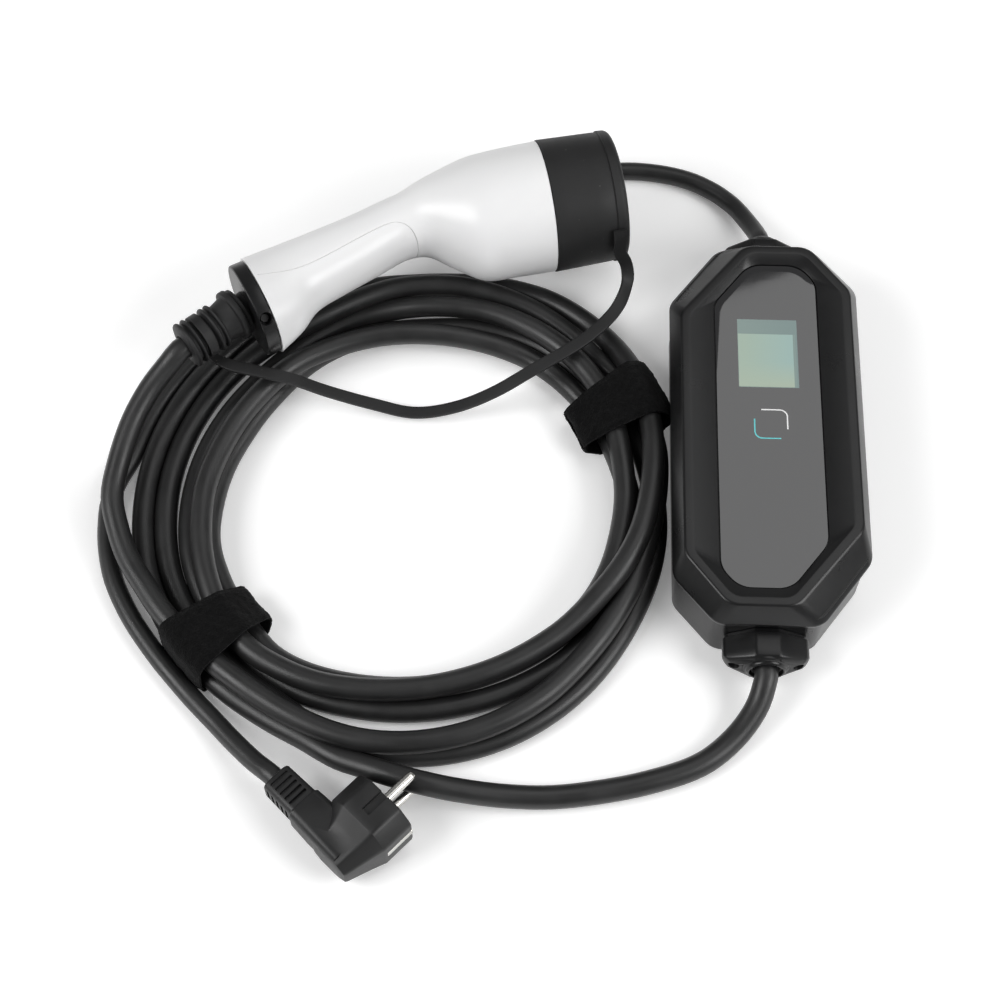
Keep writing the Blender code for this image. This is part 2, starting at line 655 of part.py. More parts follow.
# Cable clamps: the same moulding at both ends, its axis leaving the box along local +Y.
wall_y = base.half_length
clamp_outline = rounded([
    (CLAMP_HALF_WIDTH, -CLAMP_SIDE_HALF_HEIGHT), (CLAMP_HALF_WIDTH, CLAMP_SIDE_HALF_HEIGHT),
    (CLAMP_TOP_HALF_WIDTH, CLAMP_HALF_HEIGHT), (-CLAMP_TOP_HALF_WIDTH, CLAMP_HALF_HEIGHT),
    (-CLAMP_HALF_WIDTH, CLAMP_SIDE_HALF_HEIGHT), (-CLAMP_HALF_WIDTH, -CLAMP_SIDE_HALF_HEIGHT),
    (-CLAMP_TOP_HALF_WIDTH, -CLAMP_HALF_HEIGHT), (CLAMP_TOP_HALF_WIDTH, -CLAMP_HALF_HEIGHT)], 0.003, 2)
end_centre = (base.big[0] - base.small[0]) / 2


def clamp_ring(distance, shrink, corner=0.0):
    kx = 1 - (shrink + corner) / CLAMP_HALF_WIDTH
    kz = 1 - shrink / CLAMP_HALF_HEIGHT
    return [(end_centre + x * kx, wall_y + distance, GLAND_HEIGHT + z * kz) for x, z in clamp_outline]


def gland(side, turn, cable_radius):
    """Clamp, seal and two screws, at one end of the box."""
    place = Matrix.Rotation(turn, 4, "Z")
    start = CLEARANCE
    clamp = add_object(f"{side}_clamp", loft([
        clamp_ring(start, CLAMP_FLANGE_INSET), clamp_ring(CLAMP_FLANGE, CLAMP_FLANGE_INSET),
        clamp_ring(CLAMP_FLANGE, 0), clamp_ring(CLAMP_LENGTH - CLAMP_CORNER, 0),
        clamp_ring(CLAMP_LENGTH - CLAMP_CORNER * 0.36, 0, CLAMP_CORNER * 0.23),
        clamp_ring(CLAMP_LENGTH - CLAMP_CORNER * 0.08, CLAMP_EDGE * 0.4, CLAMP_CORNER * 0.62),
        clamp_ring(CLAMP_LENGTH, CLAMP_EDGE, CLAMP_CORNER)]), HOUSING, place)
    outward = place @ frame_to((end_centre, wall_y, GLAND_HEIGHT), (0, 1, 0))
    mouth = CLAMP_LENGTH + CLAMP_COLLAR_LENGTH
    join(clamp, guide(f"{side}_clamp_collar", turned([
        (0, CLAMP_LENGTH / 2), (CLAMP_COLLAR_RADIUS, CLAMP_LENGTH / 2),
        (CLAMP_COLLAR_RADIUS, CLAMP_LENGTH + CLAMP_COLLAR_LENGTH * 0.4),
        (CLAMP_COLLAR_RADIUS - 0.0012, mouth - 0.0006), (CLAMP_COLLAR_RADIUS - 0.0018, mouth),
        (0, mouth)], MEDIUM + 4), outward))
    cut(clamp, guide(f"{side}_clamp_bore", turned([
        (0, -0.001), (cable_radius + 2 * CABLE_FIT, -0.001),
        (cable_radius + 2 * CABLE_FIT, SEAL_STEP), (SEAL_RADIUS, SEAL_STEP),
        (SEAL_RADIUS, mouth + 0.001), (0, mouth + 0.001)], MEDIUM), outward))
    cut(housing, guide(f"{side}_wall_hole", rod(
        cable_radius + 2 * CABLE_FIT, -BASE_WALL - 0.001, 0.001), outward))
    add_object(f"{side}_seal", turned([
        (SEAL_RADIUS - CLEARANCE, SEAL_STEP + CLEARANCE), (SEAL_RADIUS - CLEARANCE, mouth - 0.0012),
        (SEAL_RADIUS - 0.0010, mouth - 0.0004), (cable_radius + CABLE_FIT + 0.0006, mouth - 0.0004),
        (cable_radius + CABLE_FIT, mouth - 0.0012), (cable_radius + CABLE_FIT, SEAL_STEP + CLEARANCE)],
        MEDIUM), SEAL, outward)
    for number, hand in enumerate((-1, 1), 1):
        lean = radians(CLAMP_SCREW_TILT) * hand
        mouth_point = place @ Vector((end_centre + hand * CLAMP_SCREW_X, wall_y + CLAMP_LENGTH, GLAND_HEIGHT))
        inward = place.to_3x3() @ Vector((-sin(lean) * 0.0, -cos(lean), sin(abs(lean))))
        along = frame_to(mouth_point, inward, (1, 0, 0))
        cut(clamp, guide(f"{side}_screw_hole_{number}", turned([
            (0, -0.006), (CLAMP_SCREW_HOLE, -0.006), (CLAMP_SCREW_HOLE, CLAMP_SCREW_DEPTH),
            (CLAMP_SCREW_SHAFT + CLEARANCE, CLAMP_SCREW_DEPTH),
            (CLAMP_SCREW_SHAFT + CLEARANCE, CLAMP_LENGTH * 0.8), (0, CLAMP_LENGTH * 0.8)], 10), along))
        seat = CLAMP_SCREW_DEPTH - CLEARANCE
        add_object(f"{side}_clamp_screw_{number}", turned([
            (0, seat - 0.0018), (CLAMP_SCREW_HEAD * 0.8, seat - 0.0018),
            (CLAMP_SCREW_HEAD, seat - 0.0010), (CLAMP_SCREW_HEAD, seat),
            (CLAMP_SCREW_SHAFT, seat), (CLAMP_SCREW_SHAFT, CLAMP_LENGTH * 0.8 - 0.0010),
            (0, CLAMP_LENGTH * 0.8 - CLEARANCE)], 8), STEEL, along)


gland("mains", 0.0, MAINS_CABLE_RADIUS)
gland("outlet", pi, EV_CABLE_RADIUS)

# Vehicle connector. Local axes: +X out of the mouth, +Y to the back of the grip, +Z up.
connector = Matrix.Translation(CONNECTOR_ORIGIN) @ Matrix.Rotation(radians(CONNECTOR_TURN), 4, "Z")
mouth_axis = connector @ frame_to((0, 0, 0), (1, 0, 0))
station_knots = [-station[0] for station in STATIONS]


def section_frame(run):
    """Centre, half width, half thickness and lean of the grip at a distance from the mouth."""
    return [hermite(station_knots, [station[k] for station in STATIONS], run) for k in range(1, 5)]


def grip_ring(run, wall, back=0.0, sides=GRIP_SIDES):
    v, a, b, lean = section_frame(run)
    lean = radians(lean)
    share = min(1.0, run / 0.080)
    power = 2.0 + 0.3 * share
    points = []
    for k in range(sides):
        angle = 2 * pi * k / sides
        u = abs(cos(angle)) ** (2 / power) * (1 if cos(angle) > 0 else -1) * (a - wall)
        w = abs(sin(angle)) ** (2 / power) * (1 if sin(angle) > 0 else -1) * (b - wall)
        points.append((-run - sin(lean) * u - back * cos(lean), v + cos(lean) * u - back * sin(lean), w))
    return points


grip_end = station_knots[-1]


def grip_body(wall, first, last, rings):
    return loft([grip_ring(first + (last - first) * k / (rings - 1), wall) for k in range(rings)])


outer_rings = [grip_ring(0, SHELL_LIP), grip_ring(SHELL_LIP * 0.4, SHELL_LIP * 0.25)]
outer_rings += [grip_ring(SHELL_LIP + (grip_end - SHELL_LIP) * k / (GRIP_RINGS - 1), 0)
                for k in range(GRIP_RINGS)]
inner_rings = [grip_ring(0, SHELL_WALL, -0.004)]
inner_rings += [grip_ring(0.002 + (grip_end - SHELL_WALL - 0.002) * k / (GRIP_RINGS - 6), SHELL_WALL)
                for k in range(GRIP_RINGS - 5)]
shell_inner = guide("grip_hollow", loft(inner_rings), connector)


def seam_side(name, side):
    """A ruled block above or below the parting line, reaching half a clearance across it."""
    line = [(x, y - side * CLEARANCE / 2) for x, y in SEAM]
    far = 0.080 * side
    outline = line + [(line[-1][0], far), (line[0][0], far)]
    if side < 0:
        outline.reverse()
    return guide(name, loft([[(x, y, -0.060) for x, y in outline], [(x, y, 0.060) for x, y in outline]]),
                 connector)


relief_direction = Vector((-cos(radians(RELIEF_TURN)), -sin(radians(RELIEF_TURN)), 0))
relief_place = connector @ frame_to((*RELIEF_ORIGIN, 0), relief_direction)
neck_bore = guide("neck_bore", rod(
    RELIEF_NECK_RADIUS + CLEARANCE, -RELIEF_NECK_LENGTH - 0.012, 0.012), relief_place)
for name, side in (("upper_shell", 1), ("lower_shell", -1)):
    shell = add_object(name, loft(outer_rings), WHITE, connector)
    cut(shell, shell_inner, seam_side(f"{name}_side", -side), neck_bore)

# Mouth: a round shroud on a spigot inside the shells, and the carrier with seven sockets.
spigot = (STATIONS[1][2] - SHELL_WALL) * cos(pi / GRIP_SIDES) - CLEARANCE
shroud_back = -SHROUD_SPIGOT
shroud = add_object("front_shroud", turned([
    (spigot, shroud_back), (spigot, -CLEARANCE * 4), (SHROUD_RADIUS, 0.0),
    (SHROUD_RADIUS, SHROUD_LENGTH - 0.0008), (SHROUD_RADIUS - 0.0008, SHROUD_LENGTH),
    (SHROUD_RADIUS - SHROUD_WALL, SHROUD_LENGTH),
    (SHROUD_RADIUS - SHROUD_WALL, shroud_back + SHROUD_WEB),
    (CARRIER_RADIUS * 0.72, shroud_back + SHROUD_WEB), (CARRIER_RADIUS * 0.72, shroud_back)]),
    INSULATOR, mouth_axis)
carrier_back = shroud_back + SHROUD_WEB + CLEARANCE
carrier_front = carrier_back + CARRIER_LENGTH + SHROUD_SPIGOT - SHROUD_WEB
carrier = add_object("contact_carrier", turned([
    (0, carrier_back), (SHROUD_RADIUS - SHROUD_WALL - CLEARANCE, carrier_back),
    (SHROUD_RADIUS - SHROUD_WALL - CLEARANCE, carrier_back + CARRIER_FLANGE),
    (CARRIER_RADIUS, carrier_back + CARRIER_FLANGE), (CARRIER_RADIUS, carrier_front - 0.0008),
    (CARRIER_RADIUS - 0.0008, carrier_front), (0, carrier_front)]), INSULATOR, mouth_axis)
cut(carrier, guide("carrier_flat", block(
    (CARRIER_RADIUS, 3 * CARRIER_RADIUS, 2 * CARRIER_LENGTH),
    (CARRIER_FLAT + CARRIER_RADIUS / 2, 0, carrier_back + CARRIER_FLANGE + FLAT_START + CARRIER_LENGTH)),
    mouth_axis))
CONTACTS = (
    ("pilot", 0.0065, 0.0130, PILOT_SLEEVE_RADIUS, PILOT_PIN_RADIUS),
    ("proximity", -0.0065, 0.0130, PILOT_SLEEVE_RADIUS, PILOT_PIN_RADIUS),
    ("line", 0.0155, 0.0020, POWER_SLEEVE_RADIUS, POWER_PIN_RADIUS),
    ("earth", 0.0, 0.0, POWER_SLEEVE_RADIUS, POWER_PIN_RADIUS),
    ("neutral", -0.0155, 0.0020, POWER_SLEEVE_RADIUS, POWER_PIN_RADIUS),
    ("blank_a", 0.0085, -0.0130, POWER_SLEEVE_RADIUS, POWER_PIN_RADIUS),
    ("blank_b", -0.0085, -0.0130, POWER_SLEEVE_RADIUS, POWER_PIN_RADIUS),
)
for name, across, high, outer, inner in CONTACTS:
    socket = connector @ frame_to((0, high, across), (1, 0, 0))
    blank = name.startswith("blank")
    bottom = carrier_back + CARRIER_FLANGE if blank else carrier_back - 0.001
    cut(carrier, guide(f"{name}_hole", rod(outer + CLEARANCE, bottom, carrier_front + 0.001, SMALL), socket))
    if not blank:
        front = carrier_front - SLEEVE_RECESS
        back = front - SLEEVE_LENGTH
        add_object(f"{name}_sleeve", turned([
            (0, back), (outer, back), (outer, front), (inner, front),
            (inner, front - SLEEVE_LENGTH * 0.7), (0, front - SLEEVE_LENGTH * 0.7)], SMALL),
            NICKEL, socket)

# Rear collar, closed round the neck of the strain relief.
collar = add_object("rear_collar", loft([
    grip_ring(grip_end, COLLAR_INSET, CLEARANCE),
    grip_ring(grip_end, COLLAR_INSET, COLLAR_LENGTH - COLLAR_EDGE),
    grip_ring(grip_end, COLLAR_INSET + COLLAR_EDGE, COLLAR_LENGTH)]), HOUSING, connector)
cut(collar, neck_bore)
collar_v, collar_a, collar_b, collar_lean = section_frame(grip_end)
lean = radians(collar_lean)
hole_turn = radians(COLLAR_HOLE_ANGLE)
half_a = collar_a - COLLAR_INSET
half_b = collar_b - COLLAR_INSET
sideways = Vector((-sin(lean), cos(lean), 0))
hole_out = sideways * (cos(hole_turn) / half_a) + Vector((0, 0, sin(hole_turn) / half_b))
hole_in = -hole_out.normalized()
middle = Vector((-grip_end, collar_v, 0)) - Vector((cos(lean), sin(lean), 0)) * (
    (COLLAR_LENGTH + CLEARANCE) / 2)
hole_top = middle + sideways * (half_a * cos(hole_turn)) + Vector((0, 0, half_b * sin(hole_turn)))
hole_place = connector @ frame_to(hole_top, hole_in, (1, 0, 0))
cut(collar, guide("collar_screw_hole", rod(
    COLLAR_HOLE_RADIUS, -0.004, COLLAR_HOLE_DEPTH, 16), hole_place))
add_object("collar_screw", turned([
    (0, COLLAR_HOLE_DEPTH - 0.0022), (COLLAR_SCREW_HEAD * 0.8, COLLAR_HOLE_DEPTH - 0.0022),
    (COLLAR_SCREW_HEAD, COLLAR_HOLE_DEPTH - 0.0016), (COLLAR_SCREW_HEAD, COLLAR_HOLE_DEPTH - CLEARANCE),
    (0, COLLAR_HOLE_DEPTH - CLEARANCE)], SMALL), STEEL, hole_place)

# Strain relief: a flange, a cone and ribs, with a groove for the ring of the tether.
core = RELIEF_CORE_RADIUS
disc = RELIEF_DISC_RADIUS
bore = EV_CABLE_RADIUS + CABLE_FIT
flange_start = -0.0008
ring_groove = (0.0215, 0.0275)
relief_profile = [(RELIEF_NECK_RADIUS, -RELIEF_NECK_LENGTH), (RELIEF_NECK_RADIUS, flange_start),
                  (RELIEF_FLANGE_RADIUS - 0.0012, flange_start),
                  (RELIEF_FLANGE_RADIUS - 0.0012, flange_start + 0.0022),
                  (RELIEF_FLANGE_RADIUS, flange_start + 0.0026),
                  (RELIEF_FLANGE_RADIUS, flange_start + 0.0056),
                  (RELIEF_FLANGE_RADIUS - 0.0006, flange_start + 0.0062),
                  (core + 0.0016, flange_start + 0.0066), (core, 0.0128)]
for rib in (0.0158, 0.0200):
    relief_profile += [(core, rib - 0.0012), (disc - 0.0004, rib - 0.0008),
                       (disc - 0.0004, rib + 0.0008), (core, rib + 0.0012)]
relief_profile += [(core - 0.0008, ring_groove[0] + 0.0004), (core - 0.0008, ring_groove[1])]
for rib in (0.0288,):
    relief_profile += [(core, rib - 0.0010), (disc, rib - 0.0008), (disc, rib + 0.0008), (core, rib + 0.0012)]
relief_profile += [(core, RELIEF_LENGTH - 0.0030), (disc, RELIEF_LENGTH - 0.0026),
                   (disc, RELIEF_LENGTH - 0.0006), (disc - 0.0006, RELIEF_LENGTH),
                   (bore, RELIEF_LENGTH), (bore, -RELIEF_NECK_LENGTH)]
add_object("strain_relief", turned(relief_profile, MEDIUM - 2), RUBBER, relief_place)

# Dust cap: a cup pushed over the shroud, with a rounded front edge and a lip line.
cap_start = CLEARANCE
cap_inner = SHROUD_RADIUS + CLEARANCE


def cap_radius(distance):
    return CAP_REAR_RADIUS + (CAP_FRONT_RADIUS - CAP_REAR_RADIUS) * distance / CAP_LENGTH


cap_profile = [(cap_inner, cap_start), (CAP_REAR_RADIUS - 0.0003, cap_start),
               (CAP_REAR_RADIUS, cap_start + 0.0004),
               (cap_radius(CAP_LENGTH - CAP_EDGE - CAP_LIP), CAP_LENGTH - CAP_EDGE - CAP_LIP),
               (cap_radius(CAP_LENGTH - CAP_EDGE - CAP_LIP) + 0.0005, CAP_LENGTH - CAP_EDGE - CAP_LIP + 0.0004)]
for k in range(5):
    angle = pi / 2 * k / 4
    cap_profile.append((CAP_FRONT_RADIUS + 0.0004 - CAP_EDGE * (1 - cos(angle)),
                        CAP_LENGTH - CAP_EDGE * (1 - sin(angle))))
cap_profile += [(0, CAP_LENGTH), (0, CAP_LENGTH - CAP_WALL), (cap_inner, CAP_LENGTH - CAP_WALL)]
add_object("dust_cap", turned(cap_profile, FINE + 4), RUBBER, mouth_axis)


def tether_points():
    """Route of the tether down the cap's side, over the coil and on to the strain relief."""
    along = CAP_LENGTH - CAP_LIP - CAP_EDGE
    out = CAP_REAR_RADIUS + CLEARANCE + TETHER_THICKNESS / 2
    on_cap = [connector @ Vector((along, out * cos(radians(turn)), out * sin(radians(turn))))
              for turn in (156, 164, 172, 180)]
    return on_cap + [
            (-0.0752, 0.1022, 0.0400), (-0.0742, 0.0965, 0.0325),
            (-0.0787, 0.0822, 0.0305), (-0.0876, 0.0693, 0.0300), (-0.1016, 0.0557, 0.0300),
            (-0.1258, 0.0392, 0.0285), (-0.1465, 0.0297, 0.0200), (-0.1677, 0.0248, 0.0110),
            (-0.1906, 0.0234, 0.0060), (-0.2139, 0.0266, 0.0090), (-0.2381, 0.0285, 0.0180),
            (-0.2585, 0.0291, 0.0300), (-0.2772, 0.0308, 0.0345), (-0.2900, 0.0328, 0.0362),
            (-0.2985, 0.0365, 0.0372), (-0.3030, 0.0402, 0.0390)]


def ribbon(points, width, thickness, end_width):
    """A flat band along a route, its flat side turning with the route, narrower at its end."""
    route = smooth_route(points, width * 1.3)
    rings = []
    for k in range(len(route)):
        before = route[max(0, k - 1)]
        after = route[min(len(route) - 1, k + 1)]
        ahead = (after - before).normalized()
        share = k / (len(route) - 1)
        radial = connector.to_3x3() @ Vector((0, -1, 0))
        up = radial.lerp(Vector((0, 0, 1)), min(1.0, max(0.0, (share - 0.10) / 0.12)))
        across = ahead.cross(up).normalized()
        thick = across.cross(ahead).normalized()
        near_end = max(0.0, 1 - (len(route) - 1 - k) / 2)
        wide = width + (end_width - width) * near_end
        rings.append([route[k] + across * (sx * wide / 2) + thick * (sz * thickness / 2)
                      for sx, sz in ((-1, -1), (1, -1), (1, 1), (-1, 1))])
    return loft(rings)


tether = add_object("cap_strap", ribbon(
    tether_points(), TETHER_WIDTH, TETHER_THICKNESS, TETHER_RING_WIDTH * 0.8), RUBBER)
ring_middle = (ring_groove[0] + ring_groove[1]) / 2
ring_inner = core - 0.0008 + CLEARANCE
ring = guide("tether_ring", turned(tube_profile(
    ring_inner + TETHER_THICKNESS, ring_inner, ring_middle - TETHER_RING_WIDTH / 2,
    ring_middle + TETHER_RING_WIDTH / 2), MEDIUM), relief_place)
join(tether, ring)

# Coil: a turned ring with the outer shape of the wound cable, and two straps round it.
r0, r1, rs = COIL_INNER, COIL_OUTER, COIL_SHOULDER_RADIUS
z0, z1, zs = COIL_BOTTOM, COIL_TOP, COIL_SHOULDER
e = COIL_ROUND
coil_profile = [(r0 + e, z0), (r1 - e, z0), (r1, z0 + e), (r1, zs - e * 0.8),
                (r1 - e, zs), (rs, zs + 0.004), (rs - e * 0.3, z1 - e * 0.3), (rs - e, z1),
                (r0 + e, z1), (r0 + e * 0.3, z1 - e * 0.3), (r0, z1 - e), (r0, z0 + e)]
coil_place = Matrix.Translation((*COIL_CENTRE, 0))
add_object("ev_coil", turned(coil_profile, 50), CABLE, coil_place)
strap_gap = 2 * CLEARANCE
strap_path = [(r0 + e, z0), (r1 - e, z0), (r1 - e * 0.3, z0 + e * 0.3), (r1, z0 + e), (r1, zs - e * 0.8),
              (r1 - e * 0.3, zs - e * 0.25), (rs - e * 0.3, z1 - e * 0.3), (rs - e, z1), (r0 + e, z1),
              (r0 + e * 0.3, z1 - e * 0.3), (r0, z1 - e), (r0, z0 + e), (r0 + e * 0.3, z0 + e * 0.3)]


def offset_loop(path, distance):
    """A closed convex loop moved out by a distance."""
    moved = []
    for k, (x, y) in enumerate(path):
        ax, ay = path[k - 1]
        bx, by = path[(k + 1) % len(path)]
        n1 = Vector((y - ay, ax - x)).normalized()
        n2 = Vector((by - y, x - bx)).normalized()
        middle = (n1 + n2).normalized()
        moved.append((x + middle.x * distance / middle.dot(n1), y + middle.y * distance / middle.dot(n1)))
    return moved


def strap(name, angle):
    near = offset_loop(strap_path, strap_gap)
    far = offset_loop(strap_path, strap_gap + STRAP_THICKNESS)
    turns = [radians(angle + STRAP_HALF_ANGLE * k / 2) for k in range(-2, 3)]
    rings = []
    for (ra, za), (rb, zb) in zip(near, far):
        rings.append([(ra * cos(turn), ra * sin(turn), za) for turn in turns]
                     + [(rb * cos(turn), rb * sin(turn), zb) for turn in reversed(turns)])
    return add_object(name, closed_loft(rings), HOOK_LOOP, coil_place)


strap("strap_right", STRAP_ANGLES[0])
strap("strap_left", STRAP_ANGLES[1])


def round_coil(radius, degrees, height):
    return (COIL_CENTRE[0] + radius * cos(radians(degrees)),
            COIL_CENTRE[1] + radius * sin(radians(degrees)), height)


gland_mouth = wall_y + CLAMP_LENGTH + CLAMP_COLLAR_LENGTH
ev_floor = EV_CABLE_RADIUS + CLEARANCE
mains_floor = MAINS_CABLE_RADIUS + CLEARANCE
beside = COIL_OUTER + EV_CABLE_RADIUS + 0.0010
between_pins = PLUG_ORIGIN[2]
cable("ev_lead_box", [
    (-end_centre, -gland_mouth + CABLE_ENTRY, GLAND_HEIGHT), (-end_centre, -gland_mouth, GLAND_HEIGHT),
    (-end_centre, -gland_mouth - 0.003, GLAND_HEIGHT - 0.0002), (-0.0074, -0.1490, 0.0125),
    (-0.0190, -0.1645, ev_floor + 0.001), (-0.0362, -0.1785, ev_floor),
    (-0.0616, -0.1883, ev_floor), (-0.0867, -0.1943, ev_floor), (-0.1117, -0.1981, 0.0072),
    (-0.1368, -0.1990, 0.0102), (-0.1600, -0.1982, 0.0152), (-0.1740, -0.1966, between_pins - 0.0003),
    (-0.1867, -0.1938, between_pins), (-0.1970, -0.1906, 0.0176), (-0.2060, -0.1872, 0.0154),
    round_coil(beside + 0.0005, 262, 0.0120), round_coil(beside, 255, 0.0083),
    round_coil(beside, 247, ev_floor), round_coil(beside, 244.5, ev_floor)], EV_CABLE_RADIUS, CABLE)
relief_end = relief_place @ Vector((0, 0, RELIEF_LENGTH - CABLE_ENTRY))
relief_mouth = relief_place @ Vector((0, 0, RELIEF_LENGTH))
relief_out = relief_place @ Vector((0, 0, RELIEF_LENGTH + 0.003))
cable("ev_lead_grip", [
    relief_end, relief_mouth, relief_out, (-0.3219, 0.0259, 0.0462), (-0.3316, 0.0135, 0.0403), (-0.3403, -0.0044, 0.0340),
    (-0.3463, -0.0282, 0.0272), (-0.3475, -0.0443, 0.0236), (-0.3451, -0.0611, 0.0206),
    (-0.3400, -0.0781, 0.0186), (-0.3330, -0.0948, 0.0172), (-0.3293, -0.1027, 0.0168)],
    EV_CABLE_RADIUS, CABLE)

# Plug. Local axes: +X along the pins, +Y to the cable, +Z up, origin between the pins' roots.
plug = Matrix.Translation(PLUG_ORIGIN) @ Matrix.Rotation(radians(PLUG_TURN), 4, "Z")


def plug_ring(depth, half_c, half_z, drop=0.0):
    """An eight-sided section across the pins, with cut corners."""
    c, z = half_c, half_z
    k = 1 - PLUG_CORNER
    return [(-depth, y, w + drop) for y, w in rounded([
        (c, -z * k), (c, z * k), (c * k, z), (-c * k, z), (-c, z * k), (-c, -z * k), (-c * k, -z),
        (c * k, -z)], min(c, z) * 0.3, 3)]


body = add_object("plug_body", loft([
    plug_ring(0.0, PLUG_RADIUS - 0.0010, PLUG_RADIUS - 0.0010),
    plug_ring(0.0010, PLUG_RADIUS, PLUG_RADIUS),
    plug_ring(PLUG_BODY, PLUG_RADIUS, PLUG_RADIUS),
    plug_ring(PLUG_BODY + 0.0060, PLUG_RADIUS * 0.86, PLUG_RADIUS * 0.82, drop=-0.0020),
    plug_ring(PLUG_BACK - 0.0015, PLUG_BACK_HALF[0], PLUG_BACK_HALF[1], drop=-0.0030),
    plug_ring(PLUG_BACK, PLUG_BACK_HALF[0] - 0.0015, PLUG_BACK_HALF[1] - 0.0015, drop=-0.0030)]),
    RUBBER, plug)


def arm_ring(reach, half_w, half_h):
    return [(-ARM_AXIS + x, reach, z) for x, z in rounded([
        (half_w, -half_h), (half_w, half_h), (-half_w, half_h), (-half_w, -half_h)],
        min(half_w, half_h) * 0.45, 3)]


join(body, guide("plug_arm", loft([
    arm_ring(-0.004, ARM_HALF_WIDTH + 0.0006, ARM_HALF_HEIGHT - 0.0015),
    arm_ring(PLUG_RADIUS * 0.84, ARM_HALF_WIDTH + 0.0006, ARM_HALF_HEIGHT + 0.0006),
    arm_ring(ARM_STEP - 0.0010, ARM_HALF_WIDTH, ARM_HALF_HEIGHT - 0.0004),
    arm_ring(ARM_STEP, ARM_HALF_WIDTH - 0.0010, ARM_HALF_HEIGHT - 0.0012),
    arm_ring(ARM_END - 0.0010, ARM_END_HALF, ARM_END_HALF),
    arm_ring(ARM_END, ARM_END_HALF - 0.0008, ARM_END_HALF - 0.0008)]), plug))
for number in range(SLOT_COUNT):
    reach = ARM_STEP + 0.0030 + number * SLOT_PITCH
    for word, side in (("top", 1), ("bottom", -1)):
        cut(body, guide(f"relief_slot_{word}_{number}", block(
            (2 * ARM_HALF_WIDTH * 0.55, SLOT_WIDTH, 0.010),
            (-ARM_AXIS, reach, side * (ARM_END_HALF - SLOT_DEPTH * 0.55 + 0.005))), plug))
lead_axis = plug @ frame_to((-ARM_AXIS, ARM_END, 0), (0, 1, 0))
cut(body, guide("plug_cable_bore", rod(
    MAINS_CABLE_RADIUS + CABLE_FIT, -CABLE_ENTRY - 0.001, 0.001, 24), lead_axis))
for word, side in (("top", 1), ("bottom", -1)):
    cut(body, guide(f"guide_groove_{word}", block(
        (PLUG_BODY * 0.75, GUIDE_WIDTH, 2 * GUIDE_DEPTH), (-PLUG_BODY * 0.75 / 2 + 0.001, 0, side * PLUG_RADIUS)),
        plug))
    edge = "near" if side > 0 else "far"
    cut(body, guide(f"earth_seat_{edge}", block(
        (EARTH_STRIP[1] + 2 * CLEARANCE, 2 * (EARTH_STRIP[0] + CLEARANCE), EARTH_STRIP[2] + 2 * CLEARANCE),
        (-EARTH_STRIP[1] / 2 + CLEARANCE, side * PLUG_RADIUS, 0)), plug))
    add_object(f"earth_strip_{edge}", block(
        (EARTH_STRIP[1], EARTH_STRIP[0], EARTH_STRIP[2]),
        (-EARTH_STRIP[1] / 2, side * (PLUG_RADIUS - EARTH_STRIP[0] / 2), 0)), NICKEL, plug)
    pin_place = plug @ frame_to((0, 0, side * PIN_SPACING / 2), (1, 0, 0))
    cut(body, guide(f"pin_seat_{word}", rod(
        PIN_RADIUS + CLEARANCE, -PIN_ROOT - CLEARANCE, 0.001, 16), pin_place))
    add_object(f"plug_pin_{word}", turned([
        (0, -PIN_ROOT), (PIN_RADIUS, -PIN_ROOT), (PIN_RADIUS, PIN_LENGTH - 0.0022),
        (PIN_RADIUS * 0.82, PIN_LENGTH - 0.0008), (PIN_RADIUS * 0.4, PIN_LENGTH), (0, PIN_LENGTH)], 16),
        NICKEL, pin_place)

lead_end = lead_axis @ Vector((0, 0, -CABLE_ENTRY))
lead_mouth = lead_axis @ Vector((0, 0, 0.0))
lead_out = lead_axis @ Vector((0, 0, 0.004))
cable("mains_lead", [
    (end_centre, gland_mouth - CABLE_ENTRY, GLAND_HEIGHT), (end_centre, gland_mouth, GLAND_HEIGHT),
    (end_centre, gland_mouth + 0.003, GLAND_HEIGHT - 0.0002), (0.0012, 0.1430, 0.0149), (-0.0036, 0.1554, 0.0100),
    (-0.0096, 0.1665, 0.0072), (-0.0154, 0.1733, mains_floor + 0.0004), (-0.0211, 0.1784, mains_floor),
    (-0.0328, 0.1853, mains_floor), (-0.0445, 0.1894, mains_floor), (-0.0564, 0.1917, mains_floor),
    (-0.0690, 0.1927, mains_floor), (-0.0820, 0.1920, mains_floor), (-0.0960, 0.1900, mains_floor),
    (-0.1185, 0.1847, mains_floor), (-0.1478, 0.1756, mains_floor), (-0.1768, 0.1649, mains_floor),
    (-0.2054, 0.1514, mains_floor), (-0.2336, 0.1348, mains_floor), (-0.2600, 0.1152, mains_floor),
    (-0.2815, 0.0945, mains_floor), (-0.3010, 0.0710, mains_floor), (-0.3160, 0.0510, mains_floor),
    (-0.3285, 0.0332, mains_floor), (-0.3363, 0.0155, mains_floor), (-0.3437, -0.0095, mains_floor),
    (-0.3501, -0.0252, mains_floor), (-0.3526, -0.0385, mains_floor), (-0.3525, -0.0480, mains_floor),
    (-0.3513, -0.0600, mains_floor), (-0.3488, -0.0719, mains_floor), (-0.3450, -0.0836, mains_floor),
    (-0.3392, -0.0953, mains_floor), (-0.3324, -0.1066, mains_floor), (-0.3243, -0.1177, mains_floor),
    (-0.3155, -0.1287, mains_floor), (-0.3058, -0.1396, mains_floor), (-0.2956, -0.1505, mains_floor),
    (-0.2845, -0.1616, 0.0066), (-0.2734, -0.1733, 0.0094), (-0.2611, -0.1855, 0.0139),
    lead_out, lead_mouth, lead_end], MAINS_CABLE_RADIUS, CABLE, held=(1, 1))
